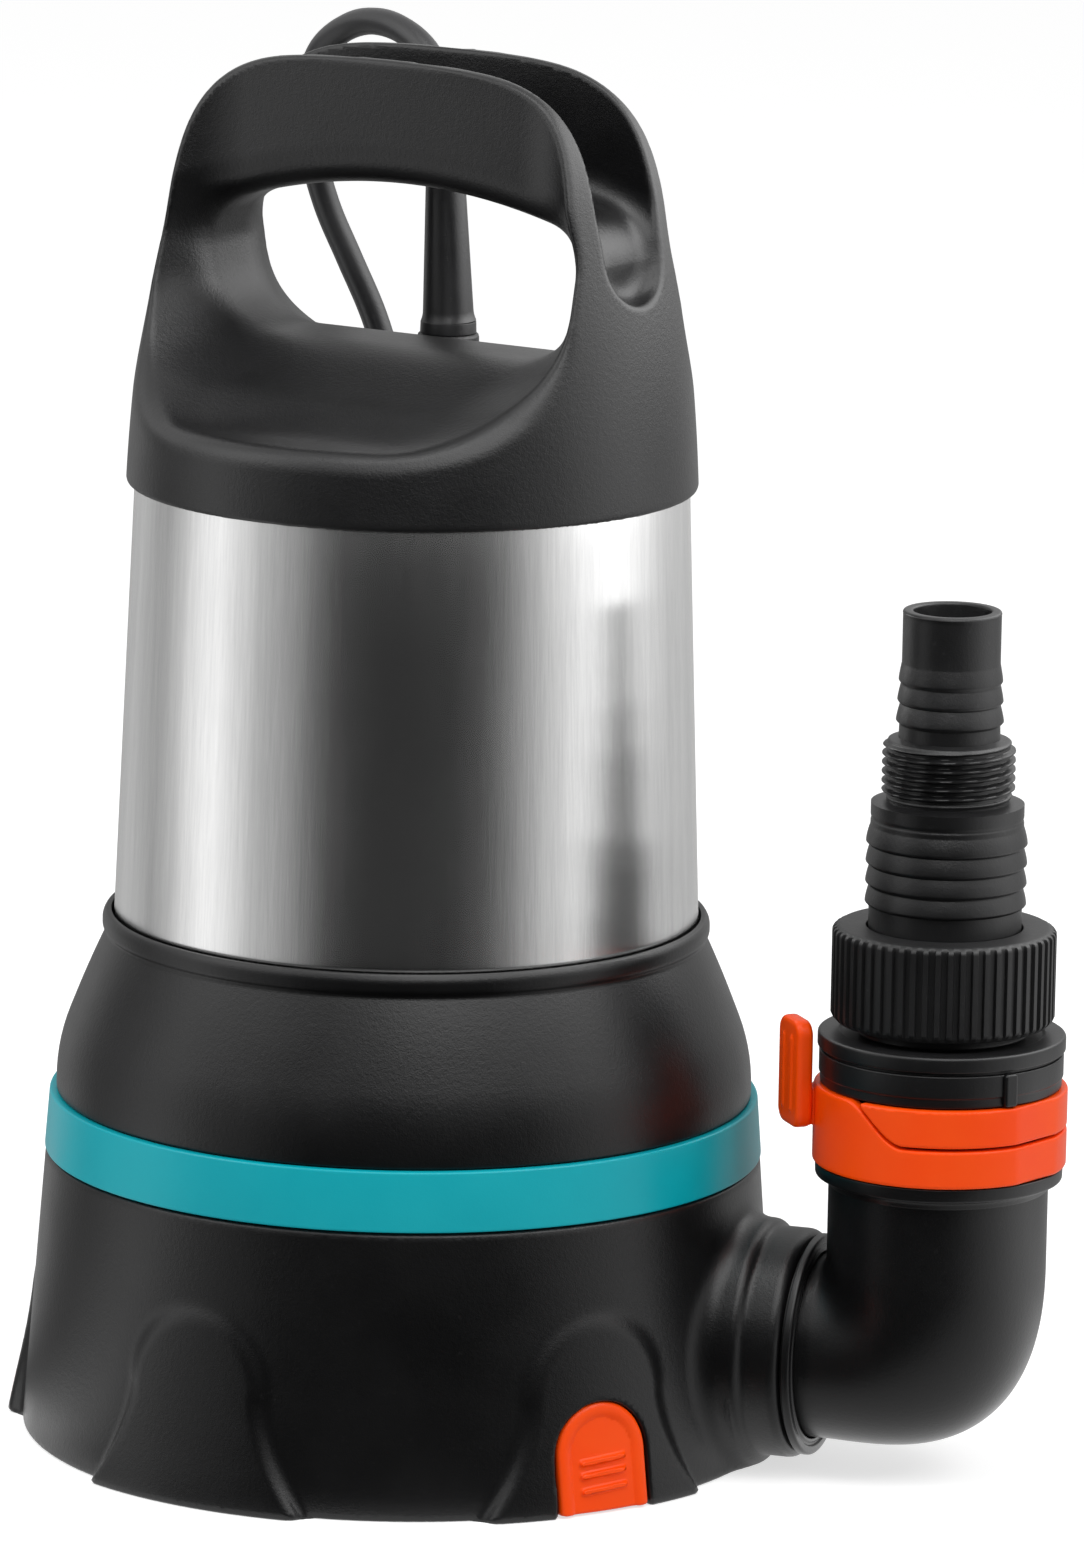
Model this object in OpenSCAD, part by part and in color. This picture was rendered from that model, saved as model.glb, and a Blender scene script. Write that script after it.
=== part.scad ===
// Submersible sump pump with a swivelling outlet elbow, quick lock and stepped hose tail.
// Millimetres, +Z up. The origin lies on the pump's axis at floor level, and +X is the outlet port.

/* [Base] */
// Outer radius of the base at the floor
base_r = 96.3; // [90:0.5:104]
// Outer radius of the base under the colour band
base_top_r = 90.8; // [88:0.2:94]
// Height of the base up to the colour band
base_h = 72; // [68:1:76]
// Wall of the base, the shoulder and the cap
shell_wall = 3; // [2.4:0.1:3.6]
// How far the foot bulges stand out at the floor
bulge_out = 4.2; // [2:0.2:6]
// Height of the foot bulges
bulge_h = 45; // [40:1:50]
// Width of a foot bulge at the floor
bulge_w = 63; // [56:1:66]
// Width of a foot bulge under its arch
bulge_top_w = 34; // [30:1:40]

/* [Sliding feet] */
// Width of a sliding foot
foot_w = 25.4; // [20:0.2:28]
// Height of a sliding foot
foot_h = 26.5; // [22:0.5:30]
// Gap round a sliding foot
foot_gap = 0.5; // [0.4:0.1:0.8]
// Number of grip ribs on a foot
foot_ribs = 2; // [1:1:3]

/* [Colour band] */
// Height of the colour band
band_h = 15.7; // [12:0.5:18]
// How far the band stands out from the base
band_out = 0.3; // [0.1:0.1:0.8]
// Inward draft of the band over its height
band_draft = 1.2; // [0.8:0.1:1.6]

/* [Shoulder] */
// How far the shoulder stands back from the base's upper edge
shoulder_in = 2.6; // [1.8:0.1:3.2]
// Straight height of the shoulder above the band
shoulder_side_h = 9.5; // [7:0.5:12]
// Height of the shoulder's slope up to the lip
shoulder_slope_h = 31; // [28:0.5:34]
// Rounding at the top of the shoulder
shoulder_round = 24; // [18:1:30]
// Outer radius of the lip round the jacket
lip_r = 75.8; // [75.4:0.1:77]
// Height of the lip
lip_h = 5.6; // [4:0.2:8]

/* [Jacket] */
// Outer radius of the steel jacket at its lower end
jacket_r = 74.4; // [74:0.1:74.6]
// Outer radius of the steel jacket at its upper end
jacket_top_r = 69.5; // [69:0.1:69.8]
// Sheet thickness of the jacket
jacket_wall = 1; // [0.8:0.1:1.4]
// Height of the jacket's lower end above the floor
jacket_z = 122; // [120:0.5:123]
// Height of the jacket
jacket_h = 128; // [124:1:132]

/* [Cap and handle] */
// How far the cap's lower edge stands out from the jacket
cap_out = 2.4; // [2:0.1:4]
// Height of the cap's lower edge above the floor
cap_z = 243.5; // [241:0.5:245]
// Height of the whole cap with its handle
cap_h = 108.5; // [104:0.5:111]
// Height of the rounded top of the cap
cap_round_h = 40; // [34:1:44]
// Thickness of the handle from front to back
handle_t = 34; // [30:1:38]
// Width of the channel along the handle's top
channel_w = 27; // [22:1:29]
// Turn of the handle from the outlet's direction
handle_turn = -13.7; // [-20:0.1:-8]
// Height of the saddle under the handle above the floor
saddle_z = 280; // [276:1:283]
// Radius of the saddle from front to back
saddle_r = 91; // [86:1:98]
// Half width of the scoops
scoop_half_w = 63; // [60:1:65]
// Rounding of the scoops' lower corners
scoop_round = 19; // [12:1:24]
// Half length of the grip opening at its widest
grip_half_l = 55.5; // [50:0.5:57]
// Top of the grip opening above the floor
grip_z = 320; // [316:0.5:322]

/* [Outlet port] */
// Height of the port's axis
port_z = 31; // [30:0.5:33]
// Outer radius of the port's collar
collar_r = 29; // [28:0.5:30]
// Distance of the collar's face from the pump's axis
collar_x = 109; // [107:0.5:109]
// Outer radius of the swivel ring
swivel_r = 28; // [27:0.1:28.5]
// Width of the swivel ring
swivel_w = 2.8; // [2.2:0.1:2.8]
// Distance of the hose stack's axis from the pump's axis
stack_x = 141.5; // [140:0.5:146]
// Outer radius of the elbow at the port
elbow_r = 23.3; // [22.8:0.1:24]
// Outer radius of the elbow at the top
elbow_top_r = 27.5; // [26.5:0.1:28]
// Fullness of the elbow's outer corner, where 2 is round
elbow_corner = 2.85; // [2:0.05:3.2]
// Wall of the elbow
elbow_wall = 3.5; // [3:0.1:4]

/* [Quick lock] */
// Height of the socket's lower edge
socket_z = 77.8; // [76:0.2:80]
// Radius of the socket's rim
socket_r = 31; // [30.5:0.1:31.5]
// Outer radius of the lock ring
lock_r = 31.75; // [31.25:0.05:32.25]
// Height of the lock ring
lock_h = 20.1; // [19:0.1:22]
// Height of the lock ring's low part
lock_low_h = 9.7; // [8:0.1:11]
// Reach of the lever from the stack's axis
lever_reach = 40.8; // [39:0.1:43]
// Height of the lever
lever_h = 27.5; // [22:0.5:29]

/* [Coupling] */
// Height of the coupling's rim band
rim_h = 8.3; // [7:0.1:9.5]
// Height of the coupling's flange above the rim
flange_h = 5; // [4:0.1:6]
// Outer radius of the threaded neck
neck_r = 23; // [22:0.1:24]
// Outer radius of the union nut
nut_r = 28; // [27:0.1:29]
// Height of the union nut
nut_h = 24.2; // [22:0.1:26]
// Number of grip ribs on the union nut
nut_ribs = 56; // [40:2:64]

/* [Hose tail] */
// Outer radius of the upper spigot
tail_r = 12.25; // [11.5:0.05:12.75]
// Length of the plain part of the upper spigot
tail_plain = 12; // [10:0.1:15]
// Length of the ribbed part of the upper spigot
tail_ribbed = 20.1; // [18.5:0.1:22]
// Outer radius of the outlet thread
thread_r = 16.6; // [16:0.05:17.2]
// Length of the outlet thread
thread_h = 15.8; // [14.5:0.1:18]
// Spacing of the thread's crests
thread_pitch = 2.309; // [1.8:0.001:3]
// Outer radius of the lower, wide hose tail
wide_r = 20.1; // [19.5:0.1:20.8]
// Length of the wide hose tail
wide_h = 22.2; // [21:0.1:24]
// Length of one rib on the hose tail
tail_rib_h = 5.1; // [4.6:0.1:5.2]
// How far the ribs stand out
tail_rib = 1; // [0.6:0.1:1.2]

/* [Motor] */
// Inner radius of the motor can
can_r = 46; // [44:0.5:48]
// Wall of the motor can
can_wall = 2.5; // [2:0.1:3.5]
// Length of the stator's iron
stator_h = 56; // [48:1:60]
// Inner radius of the stator
stator_bore_r = 25.6; // [24.5:0.1:27]
// Gap between rotor and stator
air_gap = 0.6; // [0.4:0.1:1]
// Radius of the shaft at the bearings
shaft_r = 6; // [5.5:0.1:6.5]
// Radius of the capacitor
capacitor_r = 15; // [12:0.5:16]

/* [Impeller] */
// Radius of the impeller
impeller_r = 52; // [46:0.5:54]
// Number of vanes
vane_count = 7; // [5:1:9]
// Thickness of a vane
vane_t = 3; // [2:0.1:4]
// Radius of the inlet eye
eye_r = 21; // [18:0.5:24]

/* [Cord] */
// Diameter of the power cord
cord_d = 7; // [6:0.1:7.2]
// Radius of the strain relief at its foot
boot_r = 6.5; // [5.8:0.1:7.5]
// Length of the strain relief
boot_h = 44.5; // [40:0.5:48]
// Spacing of the turns in the stored coil
coil_pitch = 7.6; // [7.6:0.05:8]
// Inner radius of the stored coil, to the cord's middle
coil_in_r = 39.5; // [38:0.1:42]

/* [Hidden] */
$fn = 72;

eps = 0.01;
run_gap = 0.05;      // radial gap of a running or push-in round fit
slip = 0.2;          // gap between pieces that are slid together
clear = 0.4;         // gap between pieces that move past each other

// Colours
black = [0.09, 0.09, 0.10];
cap_black = [0.16, 0.16, 0.17];
orange = [0.96, 0.30, 0.03];
teal = [0.0, 0.62, 0.67];
steel = [0.75, 0.75, 0.76];
zinc = [0.62, 0.63, 0.65];
copper = [0.72, 0.42, 0.22];
rubber = [0.05, 0.05, 0.05];

// Base
base_taper = (base_r - base_top_r) / base_h;
function base_at(z) = base_r - base_taper * z;
edge_chamfer = 1;
bulge_turns = [-104, -40, 40, 104, 180];
foot_turns = [-40, 40, 180];
foot_tongue_t = 2.2;
foot_tongue_w = 12;
foot_tongue_h = 38;
foot_tongue_gap = 1.55;            // between the foot's tongue and the skirt's wall
foot_lift = 0.6;
foot_tongue_r = base_at(foot_lift + foot_tongue_h) - shell_wall - foot_tongue_t - foot_tongue_gap;
guide_r = foot_tongue_r - slip;    // the inner rim, which the feet slide on, has this outer radius
guide_wall = 1.6;
plate_h = 3;
plate_r = guide_r - guide_wall - clear;
plate_screw_r = plate_r - 3.6;
plate_screw_count = 5;
plate_screw_start = 18;             // keeps the screws clear of the feet and the port
strainer_r = plate_r * 0.57;
ledge_r = plate_r - 7;             // inner radius of the ledge that carries the pump casing
ledge_z = 6;
ledge_h = 6;

// Shoulder and band
band_z = base_h;
band_top = band_z + band_h;
sleeve_r = base_at(base_h) - shell_wall - clear;      // shoulder's sleeve inside base and band
sleeve_z = base_h - 4;
shoulder_r = base_top_r - shoulder_in;
floor_h = 5;
floor_z = sleeve_z;
shoulder_z = band_top + shoulder_side_h;
slope_top = shoulder_z + shoulder_slope_h;
lip_top = slope_top + lip_h;
seal_h = 4;
seal_ledge_z = jacket_z - seal_h;

// Cap
cap_r = jacket_top_r + cap_out;
cap_reach = cap_r + 10;
cap_top = cap_z + cap_h;
cap_draft = 0.0443;
cap_bow = 0.000995;
cap_round_z = cap_top - cap_round_h;
function cap_side(z) = cap_r - cap_draft * (z - cap_z) - cap_bow * pow(z - cap_z, 2);
function cap_at(z) = cap_side(z) * (z <= cap_round_z ? 1
    : pow(max(0, 1 - pow((z - cap_round_z) / cap_round_h, 4)), 0.25));
jacket_top = jacket_z + jacket_h;
cap_seal_h = 3;
cap_ledge_z = jacket_top + cap_seal_h;
cap_ledge_r = 65.5;
grip_wall = 4;
channel_end_z = 295;

// Fasteners
tie_r = 2.5;
tie_pcd_r = 58;
tie_turns = [70, 190, 310];
tie_top = cap_ledge_z + 7;
tie_boss_r = 5;
m4_r = 2;
m3_r = 1.5;
m3_head_r = 2.8;
m3_head_h = 2;
m3_grip = 11;

// Pump casing
casing_z = ledge_z + ledge_h;
casing_floor_h = 3;
casing_top = 49;
casing_r = 72;
volute_r0 = 55;
volute_r1 = 64.5;
throat_r = 14;
throat_wall = 3.5;
spigot_r = 25.4;
spigot_bore_r = 19.5;
spigot_x = 92;
spigot_end = collar_x - 4;
gasket_h = 1;
cover_z = casing_top + gasket_h;
cover_h = 5;
cover_top = cover_z + cover_h;
casing_screw_count = 6;
casing_screw_start = 30;
casing_screw_r = casing_r - 3;

// Impeller, shaft and seal
stub_r = 5;                        // shaft radius at the impeller and at the upper bearing
vane_z = casing_z + casing_floor_h + 2;
disc_h = 3;
disc_z = 38;
hub_r = 10;
hub_z = 24;
hub_top = 45;
washer_h = 1.6;
nut_h_small = 6.4;
seal_seat_r = 12;
seal_gap = 0.2;
oil_r = 30;

// Motor
can_z = floor_z + floor_h + 5;
shield_h = 5;
shield_z = floor_z + floor_h;
bearing_r = 16;
bearing_h = 10;
bearing_z = shield_z + 2;
bearing_wall = 4;
stator_z = 104;
stator_top = stator_z + stator_h;
winding_h = 12;
winding_in_r = stator_bore_r + 2.4;
winding_out_r = can_r - 3;
rotor_r = stator_bore_r - air_gap;
rotor_bore_r = 8;
top_bearing_r = 13;
top_bearing_h = 8;
top_shield_z = stator_top + winding_h + 12;
top_shield_h = 5;
shaft_top = top_shield_z + top_shield_h - 1;
can_top = top_shield_z + 16;
lid_h = 5;
lid_top = can_top + lid_h;
capacitor_h = 36;

// Outlet
collar_bore_r = spigot_r + run_gap;
boss_out = 1.8;
elbow_tail_r = spigot_bore_r - run_gap;
elbow_bore_r = elbow_tail_r - elbow_wall;
seal_x = spigot_x + 6;
groove_r = swivel_r - 1.3;
groove_w = 0.5;
swivel_x = collar_x + swivel_w;
elbow_flange_r = elbow_r + 1.4;
bend_in = 1;                       // radius left at the elbow's inner crease
bend_x = stack_x - elbow_top_r - bend_in;
bend_z = port_z + elbow_r + bend_in;
socket_rim_h = 3.8;
lock_z = socket_z + socket_rim_h;
lock_top = lock_z + lock_h;
lock_bore_r = 28.3;
rim_top = lock_top + rim_h;
rim_groove = 0.8;
flange_top = rim_top + flange_h;
rim_r = socket_r - 0.5;
socket_bore_r = 23;
insert_r = socket_bore_r - run_gap;
insert_z = 84;
flow_r = 17.5;
nut_gap = 2.5;
nut_z = flange_top + nut_gap;
nut_top = nut_z + nut_h;
neck_top = nut_z + 14;
nut_lip_r = wide_r - tail_rib + clear;
tail_flange_h = 3;
tail_z = neck_top + 2;
tail_bore_r = 9.6;
wide_z = nut_top + 5.3;
wide_top = wide_z + wide_h;
step_h = 4.5;
thread_z = wide_top + step_h;
thread_top = thread_z + thread_h;
ribbed_z = thread_top;
plain_z = ribbed_z + tail_ribbed;
stack_top = plain_z + tail_plain;
valve_z = 88;
valve_pin_r = 1.5;
valve_pin_y = 15.5;
valve_seat_r = 14;

// Angles round the stack, counted from +X, that bound the parts of the lock ring
lock_turn = -72;                   // the way that the ramp between the two lock parts faces
ramp_from = lock_turn - 50;
ramp_to = lock_turn - 19;
tall_turn = 60;                    // width of the ring's full-height part
split_gap = 1.2;                   // between the full-height part and the fixed segment
split_clear = 0.15;                // between the low part and the fixed segment
segment_end = ramp_from + 215;
lever_turn = ramp_from - 40;
lever_twist = 20;
lever_lift = 8.6;
lever_half_w = 7;
lever_round = 4;
lever_t = 4.4;

// Cord route, seen from the side that the cord leaves by: sideways, back and up
cord_turn = 18;
cord_r = cord_d / 2;
boot_x = 8;
boot_y = 40;
boot_lean = 2;
boot_z = 275.5;
boot_pad_h = 13.5;
boot_collar_h = 3;
gland_r = 5;
gland_z = boot_z - boot_pad_h - 5;
lead_points = [[6, 40.5, 333], [2, 48, 345], [-7, 59, 351], [-17, 71, 350], [-26, 80, 342],
    [-29.5, 86, 329], [-28.5, 90, 315], [-24.5, 92, 300], [-18.5, 93, 286], [-12, 94, 271],
    [-7, 94, 255], [-3, 95, 239], [-1, 95, 222], [0, 96, 204], [-1, 97, 186], [-3, 98, 168], [-7, 99, 150],
    [-12, 100, 132], [-17, 100, 115], [-22, 101, 98], [-26, 102, 80], [-29, 102, 62], [-30.5, 102, 46],
    [-29, 102.5, 31], [-24, 103.5, 18], [-14.5, 104.2, 8.5], [-3, 104.8, 4.2], [10, 105.7, 3.5],
    [25, 109, 3.5]];
coil_x = 2;
coil_y = 194.2;
coil_start = -65;
coil_layers = [6.3, 5.8, 5.8, 5.8];          // turns in each layer, in, out, in and out again
coil_out_r = coil_in_r + coil_layers[0] * coil_pitch;
coil_climb = 0.5;
coil_lift = 0.63;                            // turns over which the cord rises to the plug on the coil
coil_steps = 24;
coil_sides = 6;
coil_turns = coil_layers[0] + coil_layers[1] + coil_layers[2] + coil_layers[3];
tail_in = 30;
tail_rings = 19;
plug_r = 17.4;
plug_l = 48;
plug_z = cord_r + 3 * coil_pitch + cord_r + plug_r + slip;   // the plug lies on the four layers

function smooth(t) = let (u = min(1, max(0, t))) u * u * (3 - 2 * u);
function back(p) = [p[0] * cos(cord_turn) - p[1] * sin(cord_turn),
    p[0] * sin(cord_turn) + p[1] * cos(cord_turn), p[2]];
// Points of an arc from angle a to angle b
function arc(c, r, a, b, n = 8) = [for (i = [0 : n]) c + r * [cos(a + (b - a) * i / n), sin(a + (b - a) * i / n)]];

// ---- helpers -------------------------------------------------------------------------------

module disc(r, z0, z1) {
    translate([0, 0, z0]) cylinder(r = r, h = z1 - z0);
}

module tube(r_out, r_in, z0, z1) {
    difference() {
        disc(r_out, z0, z1);
        disc(r_in, z0 - 1, z1 + 1);
    }
}

module around(r, n, start = 0) {
    for (i = [0 : n - 1]) rotate([0, 0, start + i * 360 / n]) translate([r, 0, 0]) children();
}

module along_port(x0, x1, r) {
    translate([x0, 0, port_z]) rotate([0, 90, 0]) cylinder(r = r, h = x1 - x0);
}

module on_stack() {
    translate([stack_x, 0, 0]) children();
}

module sector(r, from, to, z0, z1) {
    rotate([0, 0, from]) translate([0, 0, z0])
        rotate_extrude(angle = to - from) square([r, z1 - z0]);
}

module screw(r, z0, z1, head_r, head_h) {
    disc(r, z0 + head_h - eps, z1);
    disc(head_r, z0, z0 + head_h);
}

// A tube along points, closed by a flat face at each end
function unit(v) = v / norm(v);
function heading(p, i) = unit(p[min(i + 1, len(p) - 1)] - p[max(i - 1, 0)]);
function ring_of(c, d, r, sides, up = [0, 0, 1]) =
    let (a = unit(cross(d, abs(d * up) > 0.9 ? [1, 0, 0] : up)), b = cross(a, d))
    [for (k = [0 : sides - 1]) c + r * (cos(360 * k / sides) * a + sin(360 * k / sides) * b)];
module sweep(p, r, sides, first = undef, last = undef, up = [0, 0, 1]) {
    n = len(p);
    points = [for (i = [0 : n - 1])
        each ring_of(p[i], i == 0 && first != undef ? first : i == n - 1 && last != undef ? last
            : heading(p, i), r, sides, up)];
    sides_faces = [for (i = [0 : n - 2], k = [0 : sides - 1]) let (m = (k + 1) % sides)
        each [[i * sides + k, i * sides + m, (i + 1) * sides + m],
            [i * sides + k, (i + 1) * sides + m, (i + 1) * sides + k]]];
    caps = [for (k = [1 : sides - 2]) each [[0, k + 1, k],
        [(n - 1) * sides, (n - 1) * sides + k, (n - 1) * sides + k + 1]]];
    polyhedron(points, concat(sides_faces, caps));
}

// ---- base ----------------------------------------------------------------------------------

module base_outline() {
    rotate_extrude() polygon([[base_at(0) - shell_wall, 0], [base_at(0) - edge_chamfer, 0],
        [base_at(0), edge_chamfer], [base_at(base_h), base_h], [base_at(base_h) - shell_wall, base_h]]);
}

// One bulge: a bell-shaped front, standing out most at the floor and fading towards its arch
module bulge_front(grow = 0) {
    half = bulge_w / 2 + grow;
    top = bulge_top_w / 2 + grow;
    rotate([90, 0, 90]) linear_extrude(base_r + 2 * bulge_out)
        polygon(concat([[-half, 0], [half, 0], [half - 3, 3], [(half + top) / 2 - 2, bulge_h * 0.35],
            [top, bulge_h - 16]], arc([0, bulge_h - 16], 16, 0, 180), [[-top, bulge_h - 16],
            [-(half + top) / 2 + 2, bulge_h * 0.35], [-half + 3, 3]]));
}

module bulge_skin(inner) {
    top = bulge_h + 3;
    rotate_extrude() polygon([[inner, 0], [base_r + bulge_out - edge_chamfer / 2, 0],
        [base_r + bulge_out, edge_chamfer], [base_at(top) - 0.5, top], [inner - base_taper * top, top]]);
}

module foot_front(gap) {
    w = foot_w / 2 + gap;
    rotate([90, 0, 90]) linear_extrude(base_r + 2 * bulge_out) union() {
        translate([-w, -1]) square([2 * w, foot_h - foot_w / 2 + 1]);
        translate([0, foot_h - foot_w / 2]) circle(r = w);
    }
}

module base_skirt() {
    color(black) difference() {
        union() {
            base_outline();
            for (a = bulge_turns) intersection() {
                bulge_skin(base_at(0) - shell_wall / 2);
                rotate([0, 0, a]) bulge_front();
            }
            tube(base_at(ledge_z + ledge_h) - shell_wall / 2, ledge_r, ledge_z, ledge_z + ledge_h);
            tube(guide_r, plate_r + clear, 0, ledge_z + 1);
            tube(base_at(sleeve_z) - shell_wall / 2, sleeve_r - 4, sleeve_z - 5, sleeve_z);
            along_port(base_at(port_z) - 8, collar_x, collar_r);
            along_port(base_at(port_z) - 8, base_at(port_z) + 5, collar_r + boss_out);
        }
        along_port(base_at(port_z) - 12, collar_x + 1, collar_bore_r);
        difference() {
            for (a = foot_turns) rotate([0, 0, a]) translate([0, 0, foot_lift]) foot_front(foot_gap);
            disc(guide_r, -2, foot_h + 3);
        }
        around(plate_screw_r, plate_screw_count, plate_screw_start)
            disc(m4_r + run_gap, ledge_z - 1, casing_z + 1);
    }
}

module foot_slider(turn) {
    grip = [for (i = [0 : foot_ribs - 1]) 6 + i * 7];
    color(orange) rotate([0, 0, turn]) {
        intersection() {
            bulge_skin(foot_tongue_r + foot_tongue_t - 0.5);
            translate([0, 0, foot_lift]) foot_front(0);
            disc(base_r + 2 * bulge_out, foot_lift, foot_h + foot_lift + 1);
        }
        translate([foot_tongue_r, -foot_tongue_w / 2, foot_lift])
            cube([foot_tongue_t, foot_tongue_w, foot_tongue_h]);
        for (z = grip) intersection() {
            rotate_extrude() polygon([[base_r, z], [base_r + bulge_out - (bulge_out + base_r
                - base_at(bulge_h)) * z / bulge_h + 0.5, z], [base_r + bulge_out - (bulge_out + base_r
                - base_at(bulge_h)) * (z + 2) / bulge_h + 0.3, z + 2], [base_r, z + 2]]);
            translate([0, -foot_w * 0.28, 0]) cube([base_r * 2, foot_w * 0.56, foot_h]);
        }
    }
}

module foot_slider_1() { foot_slider(foot_turns[0]); }
module foot_slider_2() { foot_slider(foot_turns[1]); }
module foot_slider_3() { foot_slider(foot_turns[2]); }

module strainer_slot(length) {
    slot_w = 3.6;
    translate([-length / 2, -slot_w / 2, 0]) cube([length, slot_w, ledge_z + 1]);
}

// Flat strainer plate under the pump casing, inside the rim that the feet slide on
module suction_plate() {
    color(black) difference() {
        disc(plate_r, ledge_z - plate_h, ledge_z);
        around(plate_screw_r, plate_screw_count, plate_screw_start) disc(m4_r + run_gap, -1, ledge_z + 1);
        around(strainer_r, 20) strainer_slot(strainer_r / 2);
        around(strainer_r / 2, 10) strainer_slot(strainer_r / 3);
    }
}

module plate_screws() {
    color(zinc) around(plate_screw_r, plate_screw_count, plate_screw_start)
        screw(m4_r, ledge_z - plate_h - 2.2, casing_z + casing_floor_h + 4, 3.6, 2.2);
}

module colour_band() {
    color(teal) rotate_extrude() polygon([[sleeve_r + run_gap, band_z], [base_at(base_h) + band_out, band_z],
        [base_at(base_h) + band_out - band_draft, band_top], [sleeve_r + run_gap, band_top]]);
}

// Shoulder between band and jacket, with the sleeve below it and the motor's floor
module mid_housing() {
    turn = 25;
    start = [shoulder_r - shoulder_round, shoulder_z];
    outside = arc(start, shoulder_round, 0, turn);
    slope_inner = jacket_r + slip;
    color(black) difference() {
        union() {
            rotate_extrude() polygon(concat([[sleeve_r - shell_wall, sleeve_z], [sleeve_r, sleeve_z],
                [sleeve_r, band_top], [shoulder_r, band_top]], outside,
                [[lip_r + 0.4, slope_top], [lip_r, slope_top + 0.6], [lip_r, lip_top - 0.5],
                [lip_r - 0.5, lip_top], [slope_inner, lip_top], [slope_inner, seal_ledge_z],
                [slope_inner - 5.2, seal_ledge_z], [slope_inner - 5.2, seal_ledge_z - 3],
                [shoulder_r - shell_wall - 2, shoulder_z + 2], [sleeve_r - shell_wall, band_top - 2]]));
            tube(sleeve_r - shell_wall + eps, 36, floor_z, floor_z + floor_h);
        }
        for (a = tie_turns) rotate([0, 0, a]) translate([tie_pcd_r, 0, 0])
            disc(tie_r + run_gap, floor_z - 1, floor_z + floor_h + 1);
    }
}

module steel_jacket() {
    color(steel) rotate_extrude() polygon([[jacket_r - jacket_wall, jacket_z], [jacket_r, jacket_z],
        [jacket_top_r, jacket_top], [jacket_top_r - jacket_wall, jacket_top]]);
}

module jacket_seal_lower() {
    color(rubber) tube(jacket_r - 0.2, jacket_r - 4, seal_ledge_z, jacket_z);
}

module jacket_seal_upper() {
    color(rubber) tube(jacket_top_r - 0.2, jacket_top_r - 3.4, jacket_top, cap_ledge_z);
}

// ---- cap and handle ------------------------------------------------------------------------

// Fills everything below the saddle, which is a cylinder lying along the handle
module below_saddle(lower = 0) {
    translate([-cap_reach, 0, saddle_z - saddle_r]) rotate([0, 90, 0])
        cylinder(r = saddle_r - lower, h = 2 * cap_reach, $fn = 144);
}

module grip_outline(grow) {
    hull() {
        translate([0, grip_z - 20]) circle(r = 20 + grow, $fn = 48);
        for (side = [-1, 1]) {
            translate([side * (grip_half_l - 10), grip_z - 16]) circle(r = 10 + grow, $fn = 48);
            translate([side * (grip_half_l - 20), saddle_z + 12]) circle(r = 17 + grow, $fn = 48);
        }
    }
}

module across_handle(from, to) {
    translate([0, to, 0]) rotate([90, 0, 0]) linear_extrude(to - from) children();
}

// The cut in front of the handle and, mirrored, behind it
module scoop() {
    edge_z = saddle_z - 15;
    reach = cap_reach;
    across_handle(-reach, -handle_t / 2) union() {
        translate([-scoop_half_w + scoop_round, edge_z]) square([2 * (scoop_half_w - scoop_round), 60]);
        for (s = [-1, 1]) translate([s * (scoop_half_w - scoop_round), edge_z + scoop_round])
            circle(r = scoop_round);
        translate([-scoop_half_w, edge_z + scoop_round]) square([2 * scoop_half_w, 30]);
        translate([-reach, grip_z - 10]) square([2 * reach, cap_top]);
    }
}

module cap_body() {
    n = 14;
    rounded = [for (i = [0 : n]) let (z = cap_round_z + cap_round_h * sin(90 * i / n)) [cap_at(z), z]];
    side = [for (i = [0 : 5]) let (z = cap_z + 1 + (cap_round_z - cap_z - 1) * i / 6) [cap_side(z), z]];
    rotate_extrude($fn = 96) polygon(concat([[0, cap_z], [cap_r - 0.8, cap_z]], side, rounded));
}

module at_boot(z = boot_z) {
    rotate([0, 0, cord_turn]) translate([boot_x, boot_y, z]) children();
}

// Everything that is cut from the cap's outside: the scoops, the grip opening and the channel
module handle_cuts() {
    rotate([0, 0, handle_turn]) {
        difference() {
            union() {
                scoop();
                mirror([0, 1, 0]) scoop();
                across_handle(-cap_r, cap_r) grip_outline(0);
            }
            below_saddle();
        }
        // channel along the top of the grip, running out at both ends
        difference() {
            union() {
                translate([-cap_reach, -channel_w / 2, channel_end_z + channel_w / 2])
                    cube([2 * cap_reach, channel_w, cap_h]);
                translate([-cap_reach, 0, channel_end_z + channel_w / 2]) rotate([0, 90, 0])
                    cylinder(r = channel_w / 2, h = 2 * cap_reach);
            }
            across_handle(-cap_r, cap_r) grip_outline(grip_wall);
            below_saddle();
        }
    }
}

module cap_handle() {
    color(cap_black) difference() {
        union() {
            difference() {
                cap_body();
                handle_cuts();
                // room for the jacket and the motor's head
                disc(jacket_top_r + slip + 0.35, cap_z - 1, cap_ledge_z);
                intersection() {
                    rotate([0, 0, handle_turn]) below_saddle(shell_wall);
                    difference() {
                        disc(cap_ledge_r, cap_ledge_z - 1, saddle_z);
                        for (a = tie_turns) rotate([0, 0, a]) translate([tie_pcd_r, 0, 0])
                            disc(tie_boss_r, cap_ledge_z, saddle_z);
                    }
                }
            }
            at_boot() disc(boot_r + 3, -boot_pad_h, 0);
        }
        // holes for the tie screws and the cable gland
        for (a = tie_turns) rotate([0, 0, a]) translate([tie_pcd_r, 0, 0])
            disc(tie_r + run_gap, cap_z, tie_top + eps);
        at_boot() disc(gland_r + run_gap, -boot_pad_h - 1, 1);
    }
}

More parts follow.
